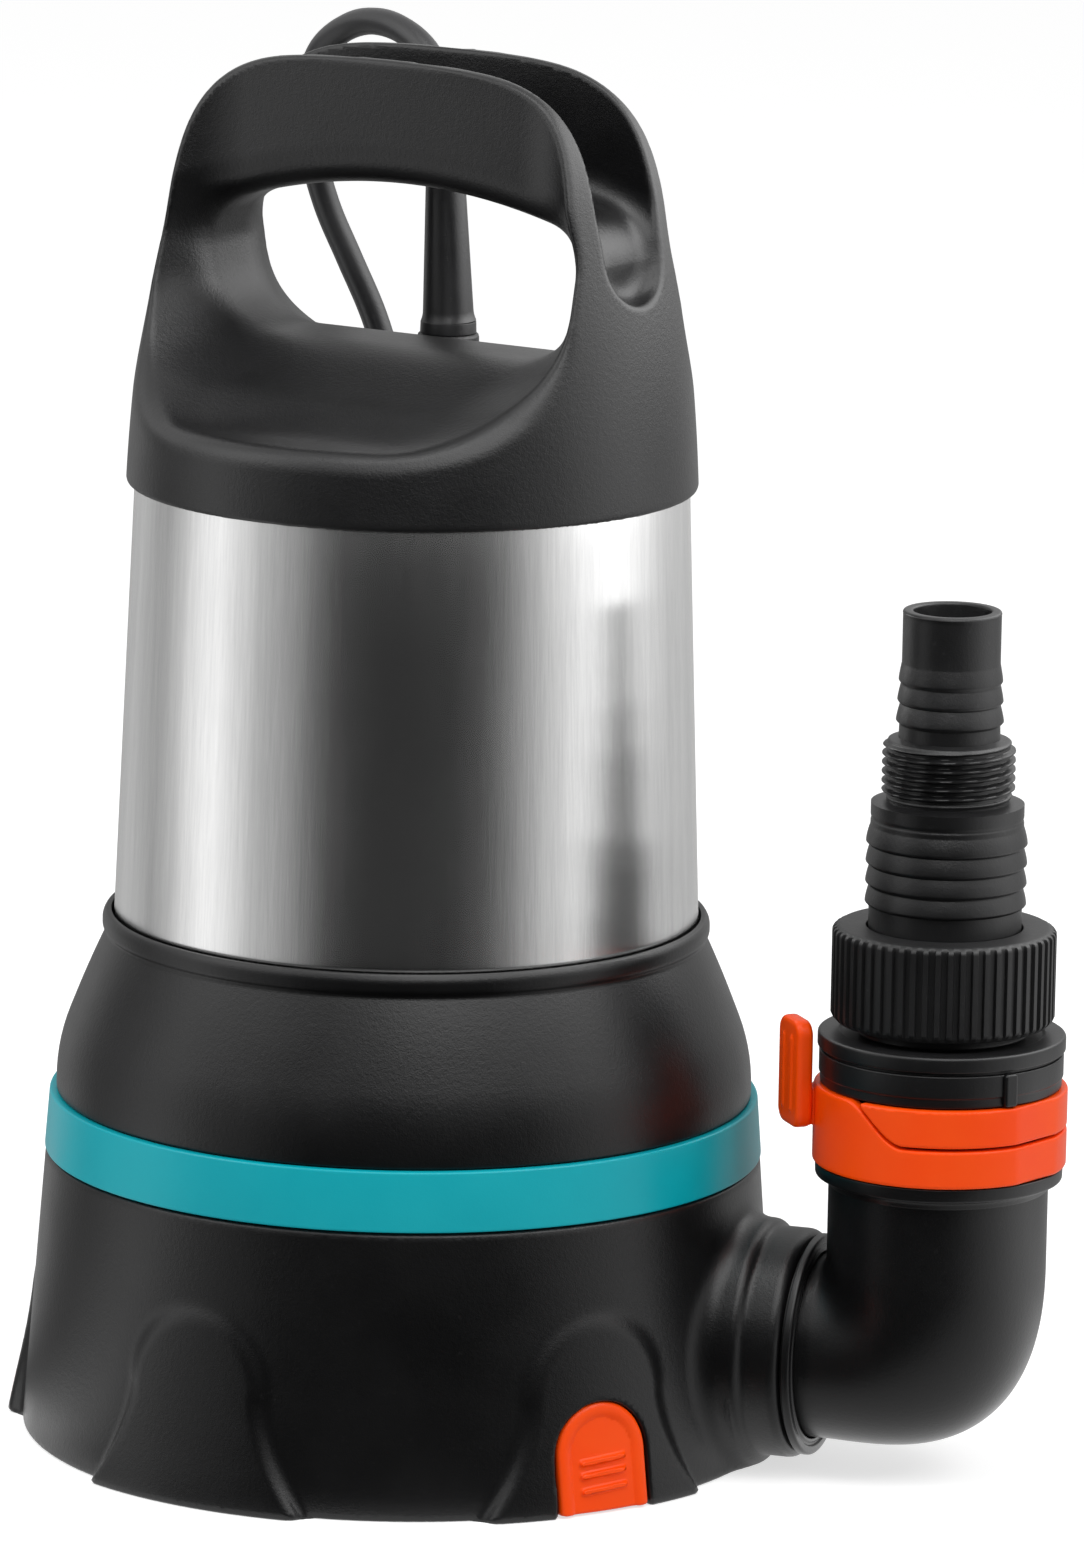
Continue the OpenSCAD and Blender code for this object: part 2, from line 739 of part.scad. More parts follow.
module cable_gland() {
    color(black) at_boot(0) difference() {
        union() {
            disc(gland_r, gland_z, boot_z - 0.001);
            translate([0, 0, gland_z]) cylinder(r = gland_r + 4, h = 5, $fn = 6);
        }
        disc(cord_r + run_gap, gland_z - 1, boot_z + 1);
    }
}

module tie_screws() {
    color(zinc) for (a = tie_turns) rotate([0, 0, a]) translate([tie_pcd_r, 0, 0])
        screw(tie_r, floor_z - 4, tie_top, 4.5, 4);
}

// ---- pump casing and impeller --------------------------------------------------------------

module at_casing_screws() {
    around(casing_screw_r, casing_screw_count, casing_screw_start) children();
}

// Room of the volute: a radius that grows steadily round to the throat
module volute_room() {
    translate([0, 0, casing_z + casing_floor_h]) linear_extrude(casing_top) polygon([for (i = [0 : 48])
        let (a = 7.5 * i, r = volute_r0 + (volute_r1 - volute_r0) * i / 48) r * [cos(a), sin(a)]]);
}

module volute_casing() {
    color(black) difference() {
        union() {
            disc(plate_r - 1, casing_z, casing_z + casing_floor_h);
            disc(casing_r, casing_z, casing_top);
            along_port(volute_r0, spigot_x + eps, throat_r + throat_wall);
            along_port(spigot_x, spigot_end, spigot_r);
        }
        volute_room();
        disc(eye_r, casing_z - 1, casing_top);
        along_port(impeller_r, spigot_x + 2, throat_r);
        along_port(spigot_x + 1.5, spigot_end + 1, spigot_bore_r);
        around(plate_screw_r, plate_screw_count, plate_screw_start)
            disc(m4_r + run_gap, casing_z - 1, casing_z + casing_floor_h + 1);
        at_casing_screws() disc(m3_r + run_gap, casing_top - m3_grip - 1, casing_top + 1);
    }
}

module volute_gasket() {
    color(rubber) difference() {
        tube(casing_r, volute_r1 + 0.5, casing_top, cover_z);
        at_casing_screws() disc(m3_r + run_gap, casing_top - 1, cover_z + 1);
    }
}

module volute_cover() {
    color(black) difference() {
        disc(casing_r, cover_z, cover_top);
        disc(seal_seat_r + run_gap, cover_z - 1, cover_top + 1);
        at_casing_screws() disc(m3_r + run_gap, cover_z - 1, cover_top + 1);
    }
}

module casing_screws() {
    color(zinc) at_casing_screws() translate([0, 0, cover_top + m3_head_h])
        mirror([0, 0, 1]) screw(m3_r, 0, cover_top + m3_head_h - casing_top + m3_grip, m3_head_r, m3_head_h);
}

// Backward-curved vanes under a disc with a hub
module impeller() {
    bend_r = 35;
    color(orange) difference() {
        union() {
            disc(impeller_r, disc_z, disc_z + disc_h);
            disc(hub_r, hub_z, hub_top);
            intersection() {
                tube(impeller_r, hub_r + 4, vane_z, disc_z + eps);
                for (i = [0 : vane_count - 1]) rotate([0, 0, i * 360 / vane_count])
                    translate([bend_r, 0, vane_z]) rotate([0, 0, 60]) rotate_extrude(angle = 100)
                        translate([bend_r - vane_t / 2, 0]) square([vane_t, disc_z - vane_z + eps]);
            }
        }
        disc(stub_r + 0.02, hub_z - 1, hub_top + 1);
    }
}

module impeller_washer() {
    color(zinc) tube(hub_r - 1.5, stub_r + 0.02, hub_z - washer_h, hub_z);
}

module impeller_nut() {
    color(zinc) difference() {
        translate([0, 0, hub_z - washer_h - nut_h_small]) cylinder(r = 8.6, h = nut_h_small, $fn = 6);
        disc(stub_r + 0.02, 0, hub_z);
    }
}

module seal_ring() {
    color(zinc) tube(hub_r + 0.5, shaft_r + 0.02, hub_top, cover_z + 1);
}

module seal_seat() {
    color(rubber) tube(seal_seat_r, shaft_r + clear, cover_z + 1 + seal_gap, cover_top);
}

module oil_chamber() {
    color(black) difference() {
        disc(oil_r, cover_top, shield_z - 0.001);
        disc(oil_r - shell_wall, cover_top - 1, shield_z - shell_wall);
        disc(shaft_r + clear, cover_top, shield_z + 1);
    }
}

// ---- motor ---------------------------------------------------------------------------------

module shaft() {
    color(steel) {
        disc(stub_r, hub_z - washer_h - nut_h_small - 1.5, hub_top + eps);
        disc(shaft_r, hub_top, stator_z - 8 + eps);
        disc(rotor_bore_r, stator_z - 8, stator_top + 8);
        disc(stub_r, stator_top + 8 - eps, shaft_top);
    }
}

module rotor_core() {
    color(zinc) difference() {
        disc(rotor_r, stator_z, stator_top);
        disc(rotor_bore_r + 0.02, stator_z - 1, stator_top + 1);
    }
}

module rotor_end_rings() {
    color(steel) {
        tube(rotor_r - 1, rotor_bore_r + 5, stator_z - 4, stator_z);
        tube(rotor_r - 1, rotor_bore_r + 5, stator_top, stator_top + 4);
    }
}

module lower_bearing_shield() {
    color(steel) difference() {
        union() {
            disc(can_r + can_wall + 3, shield_z, shield_z + shield_h);
            disc(bearing_r + bearing_wall, shield_z, bearing_z + bearing_h);
        }
        disc(bearing_r + 0.02, bearing_z, bearing_z + bearing_h + 1);
        disc(shaft_r + 2, shield_z - 1, bearing_z + 1);
    }
}

module ball_bearing(r_out, r_in, z, h) {
    color(steel) difference() {
        tube(r_out, r_in + 0.02, z, z + h);
        tube(r_out - 3, r_in + 3, z - 1, z + 0.6);
        tube(r_out - 3, r_in + 3, z + h - 0.6, z + h + 1);
    }
}

module lower_bearing() { ball_bearing(bearing_r, shaft_r + run_gap - 0.02, bearing_z, bearing_h); }
module upper_bearing() { ball_bearing(top_bearing_r, stub_r + run_gap - 0.02, top_shield_z, top_bearing_h); }

module upper_bearing_shield() {
    color(steel) difference() {
        union() {
            disc(can_r - run_gap, top_shield_z + top_bearing_h - top_shield_h, top_shield_z + top_bearing_h + 1);
            disc(top_bearing_r + bearing_wall, top_shield_z, top_shield_z + top_bearing_h + 1);
        }
        disc(top_bearing_r + 0.02, top_shield_z - 1, top_shield_z + top_bearing_h);
        around(can_r - 8, 3, 20) disc(3, top_shield_z - 1, top_shield_z + 20);
    }
}

module stator_core() {
    slots = 24;
    color(zinc) difference() {
        tube(can_r - run_gap, stator_bore_r, stator_z, stator_top);
        around(stator_bore_r + 6, slots) translate([-4, -1.4, stator_z - 1]) cube([9, 2.8, stator_h + 2]);
    }
}

module winding_lower() {
    color(copper) tube(winding_out_r, winding_in_r, stator_z - winding_h, stator_z);
}

module winding_upper() {
    color(copper) tube(winding_out_r, winding_in_r, stator_top, stator_top + winding_h);
}

module thermal_switch() {
    color(black) translate([(winding_in_r + winding_out_r) / 2 - 4, -7, stator_top + winding_h])
        cube([8, 14, 5]);
}

module motor_can() {
    color(zinc) tube(can_r + can_wall, can_r, shield_z + shield_h, can_top);
}

module motor_lid() {
    color(black) difference() {
        union() {
            disc(can_r + can_wall + 2, can_top, lid_top);
            tube(can_r - run_gap, can_r - 3, can_top - 5, can_top + eps);
        }
        translate([0, 30, 0]) disc(4.6, can_top - 1, lid_top + 1);
    }
}

module terminal_block() {
    color([0.9, 0.9, 0.86]) difference() {
        translate([6, -24, lid_top]) cube([30, 16, 14]);
        for (i = [0 : 2]) translate([11 + i * 10, -16, 0]) disc(2.6, lid_top + 6, lid_top + 15);
    }
}

module capacitor() {
    color(steel) translate([-24, -12, 0]) {
        disc(capacitor_r, lid_top, lid_top + capacitor_h);
        disc(3, lid_top + capacitor_h - eps, lid_top + capacitor_h + 3);
    }
}

// ---- outlet --------------------------------------------------------------------------------

module swivel_ring() {
    color(black) difference() {
        union() {
            along_port(collar_x, collar_x + groove_w + eps, groove_r);
            along_port(collar_x + groove_w, swivel_x, swivel_r);
        }
        along_port(collar_x - 1, swivel_x + 1, elbow_r + 0.5);
    }
}

// A pipe from the port up to the stack: straight, round a bend about its inner crease, and straight.
// The bend is drawn out towards its outer corner.
module bent_pipe(r0, r1, gap, x0, z1) {
    steps = 14;
    sides = 40;
    function corner(d) = pow(pow(abs(d[0]), elbow_corner) + pow(abs(d[1]), elbow_corner), -1 / elbow_corner);
    function ring(c, d, r, mid) = [for (k = [0 : sides - 1]) let (t = 360 * k / sides,
        out = (mid + r * cos(t)) * corner(d)) [c[0] + out * d[0], r * sin(t), c[1] + out * d[1]]];
    rings = concat([ring([x0, bend_z], [0, -1], r0, bend_in + gap + r0)],
        [for (i = [0 : steps]) let (a = 90 * i / steps, r = r0 + (r1 - r0) * i / steps)
            ring([bend_x, bend_z], [sin(a), -cos(a)], r, bend_in + gap + r)],
        [ring([bend_x, z1], [1, 0], r1, bend_in + gap + r1)]);
    n = len(rings);
    sides_faces = [for (i = [0 : n - 2], k = [0 : sides - 1]) let (m = (k + 1) % sides)
        each [[i * sides + k, (i + 1) * sides + m, i * sides + m],
            [i * sides + k, (i + 1) * sides + k, (i + 1) * sides + m]]];
    caps = [for (k = [1 : sides - 2]) each [[0, k, k + 1],
        [(n - 1) * sides, (n - 1) * sides + k + 1, (n - 1) * sides + k]]];
    polyhedron([for (r = rings) each r], concat(sides_faces, caps));
}

module elbow() {
    color(black) difference() {
        union() {
            bent_pipe(elbow_r, elbow_top_r, 0, spigot_end + 1, socket_z + 1);
            along_port(spigot_end + 0.3, collar_x - 0.2, elbow_flange_r);
            along_port(spigot_x + 2, spigot_end + 1.5, elbow_tail_r);
            on_stack() {
                disc(socket_r, socket_z, lock_z);
                disc(lock_bore_r - clear / 2, lock_z - eps, lock_top - 1);
            }
        }
        bent_pipe(elbow_bore_r + 2, flow_r + 2, elbow_wall - 2 + 3, collar_x - 1, socket_z - 4);
        along_port(spigot_x, collar_x, elbow_bore_r);
        on_stack() {
            disc(flow_r, socket_z - 5, insert_z + 1);
            disc(socket_bore_r, insert_z, lock_top);
        }
        // groove for the port's sealing ring
        difference() {
            along_port(seal_x, seal_x + 2.5, elbow_tail_r + 1);
            along_port(seal_x - 1, seal_x + 4, elbow_tail_r - 1.6);
        }
    }
}

module elbow_o_ring() {
    color(rubber) difference() {
        along_port(seal_x + 0.1, seal_x + 2.4, elbow_tail_r - 0.02);
        along_port(seal_x - 1, seal_x + 4, elbow_tail_r - 1.58);
    }
}

// Room that the ring's full-height part takes up, with the ramp at its front end
module tall_part(gap, z0) {
    tall_from = ramp_from - tall_turn;
    union() {
        sector(lock_r + 1, tall_from - gap, ramp_from + gap, z0, lock_top + 1);
        steps = 8;
        for (i = [0 : steps - 1]) sector(lock_r + 1, ramp_from + gap + i * (ramp_to - ramp_from) / steps - eps,
            ramp_from + gap + (i + 1) * (ramp_to - ramp_from) / steps, z0,
            lock_z + lock_low_h + (lock_h - lock_low_h) * smooth(1 - (i + 0.5) / steps));
    }
}

module lock_ring() {
    color(orange) on_stack() {
        intersection() {
            tube(lock_r, lock_bore_r, lock_z + 0.05, lock_top - 0.1);
            union() {
                disc(lock_r + 1, lock_z, lock_z + lock_low_h - 0.15);
                tall_part(0, lock_z);
            }
        }
        lever();
    }
}

// Upright paddle with two finger ribs, turned a little off the ring's side and joined to it
module lever() {
    middle = lever_reach - 4.5;
    rotate([0, 0, lever_turn]) translate([0, 0, lock_z + lever_lift]) {
        translate([lock_r - 1.4, -4, 1]) cube([middle - lock_r + 1.4, 8, lock_top - lock_z - lever_lift - 2.4]);
        translate([middle, 0, 0]) rotate([0, 0, lever_twist]) {
            hull() for (z = [lever_round, lever_h - lever_round], y = [-1, 1])
                translate([-lever_t / 2, y * (lever_half_w - lever_round), z])
                    rotate([0, 90, 0]) cylinder(r = lever_round, h = lever_t, $fn = 24);
            for (y = [-2.6, 2.6]) translate([lever_t / 2 - 1, y - 0.8, lever_round])
                cube([1.5, 1.6, lever_h - 2 * lever_round]);
        }
    }
}

module lock_segment() {
    color(orange) on_stack() difference() {
        intersection() {
            tube(lock_r, lock_bore_r, lock_z + lock_low_h, lock_top);
            sector(lock_r + 1, ramp_from, segment_end, lock_z, lock_top + 1);
        }
        tall_part(split_gap, lock_z);
        disc(lock_r + 1, lock_z, lock_z + lock_low_h + split_clear);
    }
}

module coupling_body() {
    crest = 2.2;
    color(black) on_stack() difference() {
        union() {
            disc(insert_r, insert_z + 0.3, lock_top + eps);
            disc(lock_bore_r + 2.6, lock_top - 0.001, lock_top + 1.5);
            disc(rim_r, lock_top + 1.4, rim_top);
            disc(rim_r - rim_groove, rim_top - eps, rim_top + 1);
            disc(socket_r, rim_top + 1 - eps, flange_top);
            disc(neck_r - 2, flange_top - eps, neck_top);
            for (i = [0 : 4]) disc(neck_r - 0.8, flange_top + 1 + i * 2.6, flange_top + 1 + i * 2.6 + crest / 2);
        }
        disc(valve_seat_r - 2, insert_z - 1, neck_top + 1);
        disc(flow_r, valve_z - 1.6, neck_top + 1);
        // pocket for the flap's ears and its hinge pin, and the groove of the sealing ring
        translate([-8, valve_pin_y - 4, valve_z - 2.4]) cube([16, 7.2, 6]);
        translate([-13, valve_pin_y, valve_z]) rotate([0, 90, 0]) cylinder(r = valve_pin_r + 0.02, h = 26);
        translate([0, 0, insert_z + 8]) difference() {
            disc(insert_r + 1, 0, 2.4);
            disc(insert_r - 1.8, -1, 4);
        }
    }
}

module coupling_o_ring() {
    color(rubber) on_stack() tube(insert_r - 0.02, insert_r - 1.78, insert_z + 8.05, insert_z + 10.35);
}

module valve_pin() {
    color(steel) on_stack() translate([-12.5, valve_pin_y, valve_z]) rotate([0, 90, 0])
        cylinder(r = valve_pin_r, h = 25);
}

// Flap of the non-return valve, hinged at its rear edge
module valve_flap() {
    ear_w = 5;
    color(rubber) on_stack() difference() {
        union() {
            disc(valve_seat_r - 1, valve_z - 1.5, valve_z + 1.5);
            for (x = [-ear_w, ear_w]) translate([x - 2, 8, valve_z - 1.5]) cube([4, valve_pin_y - 8, 3]);
            for (x = [-ear_w, ear_w]) translate([x - 2, valve_pin_y, valve_z]) rotate([0, 90, 0])
                cylinder(r = valve_pin_r + 0.6, h = 4);
        }
        translate([-20, valve_pin_y, valve_z]) rotate([0, 90, 0])
            cylinder(r = valve_pin_r + run_gap, h = 40);
    }
}

module union_nut() {
    rib = 1.2;
    color(black) on_stack() difference() {
        union() {
            rotate_extrude() polygon([[0, nut_z], [nut_r - 2, nut_z], [nut_r - 1, nut_z + 1],
                [nut_r - 1, nut_top - 1.5], [nut_r - 2.4, nut_top], [0, nut_top]]);
            around(nut_r - 1.2, nut_ribs) translate([-0.4, -rib / 2, nut_z + 1.6])
                cube([1.6, rib, nut_h - 2.7]);
        }
        disc(neck_r - 0.8 + clear, nut_z - 1, neck_top + tail_flange_h + 2.4);
        disc(nut_lip_r, nut_z, nut_top + 1);
    }
}

module tail_gasket() {
    color(rubber) on_stack() tube(neck_r - 2, flow_r, neck_top, tail_z);
}

// Stepped hose tail: a wide ribbed step, an outlet thread, a narrow ribbed step and a plain spigot
module hose_tail() {
    plain_r = wide_r - tail_rib;
    wide = [for (i = [0 : 3]) let (z = wide_z + i * tail_rib_h, top = i < 3 ? z + tail_rib_h : wide_top)
        each [[plain_r, z], [wide_r, z + 0.8], [plain_r + 0.2, top - 0.02]]];
    crests = floor((thread_h - 1.4) / thread_pitch);
    thread = [for (i = [0 : crests - 1]) let (z = thread_z + 1 + i * thread_pitch) each [
        [thread_r - 1.4, z], [thread_r, z + 0.9], [thread_r, z + 1.3], [thread_r - 1.4, z + 2.2]]];
    narrow = [for (i = [0 : 2]) let (z = ribbed_z + 3.6 + i * tail_rib_h) each [
        [tail_r + tail_rib - i * 0.2, z], [tail_r + 0.1, z + tail_rib_h - 0.02]]];
    color(black) on_stack() rotate_extrude() polygon(concat(
        [[tail_bore_r + 4, tail_z], [neck_r - 1, tail_z], [neck_r - 1, tail_z + tail_flange_h],
        [plain_r, tail_z + tail_flange_h]], wide,
        [[plain_r - 0.3, wide_top], [plain_r, wide_top + 0.6], [plain_r, thread_z - 0.5],
        [plain_r - 0.5, thread_z], [thread_r - 1.4, thread_z + 0.2]],
        thread, [[thread_r - 1.4, thread_top - 0.4], [tail_r + 0.3, thread_top],
        [tail_r + 0.3, ribbed_z + 3.5]], narrow,
        [[tail_r, plain_z], [tail_r, stack_top - 0.5], [tail_r - 0.5, stack_top],
        [tail_bore_r, stack_top], [tail_bore_r, thread_z], [tail_bore_r + 4, wide_z]]));
}

// ---- cord ----------------------------------------------------------------------------------

module strain_relief() {
    color(rubber) at_boot() {
        cylinder(r1 = boot_r + 2.2, r2 = boot_r + 0.4, h = boot_collar_h);
        translate([0, 0, boot_collar_h - eps]) rotate([0, -boot_lean, 0])
            cylinder(r1 = boot_r, r2 = boot_r - 1.7, h = boot_h - boot_collar_h);
    }
}

module cord_lead() {
    top = boot_tip;
    route = concat([top], [for (p = lead_points) back(p)], [coil_point(0)]);
    color(rubber) sweep(route, cord_r, 8, boot_way, coil_way(0));
}

// The middle of the cord after so many turns of the coil
function coil_point(turn) = let (a = coil_start + 360 * turn, r = coil_radius(turn))
    back([coil_x + r * cos(a), coil_y + r * sin(a), coil_height(turn)]);
function coil_ends(k) = k < 0 ? 0 : coil_layers[k] + coil_ends(k - 1);
function coil_radius(turn) = turn <= coil_ends(0) ? coil_out_r - coil_pitch * turn
    : turn <= coil_ends(1) ? coil_in_r + coil_pitch * (turn - coil_ends(0))
    : turn <= coil_ends(2) ? coil_in_r + coil_pitch * (coil_ends(2) - turn)
    : coil_in_r + coil_pitch * (turn - coil_ends(2))
        - tail_in * smooth((turn - coil_ends(3)) / coil_lift / 0.8 - 0.25);
function coil_height(turn) = cord_r + coil_pitch * (smooth((turn - coil_ends(0)) / coil_climb + 0.5)
    + smooth((turn - coil_ends(1)) / coil_climb + 0.5) + smooth((turn - coil_ends(2)) / coil_climb + 0.5))
    + (plug_z - cord_r - 3 * coil_pitch) * smooth((turn - coil_ends(3)) / coil_lift / 0.85);
function coil_way(turn) = unit(coil_point(turn + 0.002) - coil_point(turn - 0.002));
coil_route = concat([for (i = [0 : floor(coil_turns * coil_steps)]) coil_point(i / coil_steps)],
    [coil_point(coil_turns)]);
boot_l = boot_h - boot_collar_h;
boot_tip = back([boot_x - boot_l * sin(boot_lean), boot_y, boot_z + boot_collar_h + boot_l * cos(boot_lean)]);
boot_way = back([-sin(boot_lean), 0, cos(boot_lean)]);

module cord_coil() {
    color(rubber) sweep(coil_route, cord_r, coil_sides, coil_way(0), coil_way(coil_turns));
}

// The cord's end, which comes in over the coil's last turns and runs straight into the plug
tail_way = let (w = coil_way(coil_turns + coil_lift)) unit([w[0], w[1], 0]);
plug_at = coil_point(coil_turns + coil_lift) + cord_d * tail_way;
tail_route = concat([for (i = [0 : tail_rings]) coil_point(coil_turns + coil_lift * i / tail_rings)], [plug_at]);

module cord_tail() {
    color(rubber) sweep(tail_route, cord_r, 8, coil_way(coil_turns), tail_way);
}

module on_plug() {
    translate(plug_at) rotate([0, 0, atan2(tail_way[1], tail_way[0])]) rotate([0, 90, 0]) children();
}

module plug_body() {
    color(rubber) on_plug() rotate_extrude() polygon([[0, 0], [cord_r + 1.2, 0], [cord_r + 2, 14],
        [11, 18], [plug_r - 1.4, 34], [plug_r, 36], [plug_r, plug_l - 1], [plug_r - 1, plug_l],
        [0, plug_l]]);
}

module plug_pins() {
    color(steel) on_plug() for (s = [-1, 1]) translate([0, s * 9.5, 0]) {
        disc(2.4, plug_l, plug_l + 18.5);
        translate([0, 0, plug_l + 18.5 - eps]) cylinder(r1 = 2.4, r2 = 1.6, h = 1);
    }
}

// What the cord measures: its length, and the least gap between one turn and the next
function length_of(p, i = 1) = i >= len(p) ? 0 : norm(p[i] - p[i - 1]) + length_of(p, i + 1);
lead_route = concat([boot_tip], [for (p = lead_points) back(p)], [coil_point(0)]);
wound_route = concat(lead_route, [for (i = [1 : len(coil_route) - 1]) coil_route[i]],
    [for (i = [1 : tail_rings]) tail_route[i]]);
coil_gap = min([for (i = [0 : len(wound_route) - 1], j = [i + 12 : 1 : len(wound_route) - 1])
    norm(wound_route[i] - wound_route[j])]) - cord_d;
union() {  // cord_coil
    echo(cord_length = length_of(lead_route) + length_of(coil_route) + length_of(tail_route));
    echo(least_gap_between_turns = coil_gap);
}

base_skirt();
suction_plate();
plate_screws();
foot_slider_1();
foot_slider_2();
foot_slider_3();
colour_band();
mid_housing();
steel_jacket();
jacket_seal_lower();
jacket_seal_upper();
cap_handle();
tie_screws();
volute_casing();
volute_gasket();
volute_cover();
casing_screws();
impeller();
impeller_washer();
impeller_nut();
seal_ring();
seal_seat();
oil_chamber();
lower_bearing_shield();
lower_bearing();
shaft();
rotor_core();
rotor_end_rings();
stator_core();
winding_lower();
winding_upper();
thermal_switch();
upper_bearing();
upper_bearing_shield();
motor_can();
motor_lid();
terminal_block();
capacitor();
cable_gland();
strain_relief();
cord_lead();
cord_coil();
cord_tail();
plug_body();
plug_pins();
swivel_ring();
elbow();
elbow_o_ring();
lock_ring();
lock_segment();
coupling_body();
coupling_o_ring();
valve_pin();
valve_flap();
union_nut();
hose_tail();
tail_gasket();
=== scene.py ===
"""A submersible sump pump: its looks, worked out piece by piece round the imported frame."""

import math

import bpy
import numpy as np
from mathutils import Matrix, Vector


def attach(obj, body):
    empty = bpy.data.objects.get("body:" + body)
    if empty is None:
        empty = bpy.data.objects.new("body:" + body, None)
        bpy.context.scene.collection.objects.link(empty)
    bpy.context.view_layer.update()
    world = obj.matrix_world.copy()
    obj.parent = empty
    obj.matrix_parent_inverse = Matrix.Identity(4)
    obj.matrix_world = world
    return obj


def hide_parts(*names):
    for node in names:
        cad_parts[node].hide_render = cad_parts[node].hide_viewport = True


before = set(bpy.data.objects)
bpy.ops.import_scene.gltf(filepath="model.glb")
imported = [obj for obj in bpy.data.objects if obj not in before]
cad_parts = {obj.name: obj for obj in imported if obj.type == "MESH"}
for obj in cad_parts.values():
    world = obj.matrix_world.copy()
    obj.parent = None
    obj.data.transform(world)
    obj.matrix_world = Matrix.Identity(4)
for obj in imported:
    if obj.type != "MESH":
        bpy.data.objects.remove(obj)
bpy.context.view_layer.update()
scene = bpy.context.scene

# ---- Studio ----
# A white floor under a white room, a soft box on each side and one overhead, and a ring of pale
# and dark panels on the floor and round the pump, which only its gloss mirrors. Directions round
# the pump are counted from the camera's, in degrees to the right.

MM = 0.001
camera_data = bpy.data.cameras.new("camera")
camera_data.sensor_width, camera_data.lens = 36, 234.1
camera_data.clip_end = 50


def new_object(name, data):
    """An object with this mesh, lamp or camera, put in the scene."""
    made = bpy.data.objects.new(name, data)
    scene.collection.objects.link(made)
    return made


camera = scene.camera = new_object("camera", camera_data)
camera_place = Vector((799.5, -2351.5, 681.9)) * MM
camera_aim = Vector((32.08, 10.42, 169.88)) * MM
camera.matrix_world = (
    Matrix.Translation(camera_place)
    @ (camera_aim - camera_place).to_track_quat("-Z", "Y").to_matrix().to_4x4()
    @ Matrix.Rotation(math.radians(0.97), 4, "Z")
)
view_turn = 18.0


def cos_sin(turn):
    """The cosine and sine of an angle in degrees."""
    return math.cos(math.radians(turn)), math.sin(math.radians(turn))


def sheet_of(points, wrap_rows=False, wrap_columns=False):
    """Corners and faces of a grid of points: one four-sided face in each mesh of the grid.

    A wrapped grid also has faces from its last row or column back to its first.
    """
    rows, columns = points.shape[:2]
    corner = np.arange(rows * columns).reshape(rows, columns)
    if wrap_rows:
        corner = np.concatenate([corner, corner[:1]])
    if wrap_columns:
        corner = np.concatenate([corner, corner[:, :1]], 1)
    faces = np.stack([corner[:-1, :-1], corner[:-1, 1:], corner[1:, 1:], corner[1:, :-1]], -1)
    return points.reshape(-1, 3), faces.reshape(-1, 4)


def new_mesh(name, points, faces):
    """A mesh with these corners, in millimetres, and these four-sided faces."""
    mesh = bpy.data.meshes.new(name)
    mesh.vertices.add(len(points))
    mesh.vertices.foreach_set("co", (np.asarray(points, float) * MM).astype(np.float32).ravel())
    mesh.loops.add(faces.size)
    mesh.loops.foreach_set("vertex_index", faces.astype(np.int32).ravel())
    mesh.polygons.add(len(faces))
    mesh.polygons.foreach_set("loop_start", np.arange(0, faces.size, 4, dtype=np.int32))
    mesh.update(calc_edges=True)
    mesh.validate()
    return mesh


def new_material(name):
    """An empty node material with its Principled shader."""
    material = bpy.data.materials.new(name)
    material.use_nodes = True
    return material, material.node_tree.nodes["Principled BSDF"]


def wire(tree, node, inputs):
    """Sets a node's inputs: each is a value, or the socket that it is fed from."""
    for key, value in inputs.items():
        if isinstance(value, bpy.types.NodeSocket):
            tree.links.new(value, node.inputs[key])
        else:
            node.inputs[key].default_value = value


def add_node(tree, kind, inputs, **settings):
    """A shader node of this kind with its settings and inputs."""
    node = tree.nodes.new("ShaderNode" + kind)
    for key, value in settings.items():
        setattr(node, key, value)
    wire(tree, node, inputs)
    return node


def worked_out(tree, operation, a, b):
    """The outcome of a sum with two values."""
    return add_node(tree, "Math", {0: a, 1: b}, operation=operation).outputs[0]


def seen_rays(tree):
    """1 where a camera, glossy or transmission ray looks, 0 where light is gathered."""
    path = add_node(tree, "LightPath", {}).outputs
    mirrored = worked_out(tree, "MAXIMUM", path["Is Camera Ray"], path["Is Glossy Ray"])
    return worked_out(tree, "MAXIMUM", mirrored, path["Is Transmission Ray"])


def stage_piece(name, points, faces, material):
    """A piece of the studio, which is no part of the pump."""
    mesh = new_mesh(name, points, faces)
    mesh.materials.append(material)
    piece = new_object(name, mesh)
    return piece


# The floor glows a little where it is looked at, so that it is white and keeps the shadow
floor_material, floor_shader = new_material("studio_floor")
floor_tree = floor_material.node_tree
wire(floor_tree, floor_shader, {
    "Base Color": (0.62, 0.62, 0.62, 1), "Roughness": 0.9, "Specular IOR Level": 0.0,
    "Emission Color": (1, 1, 1, 1),
    "Emission Strength": worked_out(floor_tree, "MULTIPLY", seen_rays(floor_tree), 0.64)})
floor_half = 3000
u, v = np.meshgrid(*[np.linspace(-floor_half, floor_half, 3)] * 2, indexing="ij")
stage_piece("floor", *sheet_of(np.stack([u, -v, 0 * u], -1)), floor_material)

world = bpy.data.worlds.new("studio")
scene.world = world
world.use_nodes = True
world_tree = world.node_tree
world_tree.nodes.clear()
room, backdrop = (
    add_node(world_tree, "Background", {"Color": (1, 1, 1, 1), "Strength": strength}).outputs[0]
    for strength in (0.5, 1.0))
choose = add_node(world_tree, "MixShader", {"Fac": seen_rays(world_tree), 1: room, 2: backdrop})
add_node(world_tree, "OutputWorld", {"Surface": choose.outputs[0]})


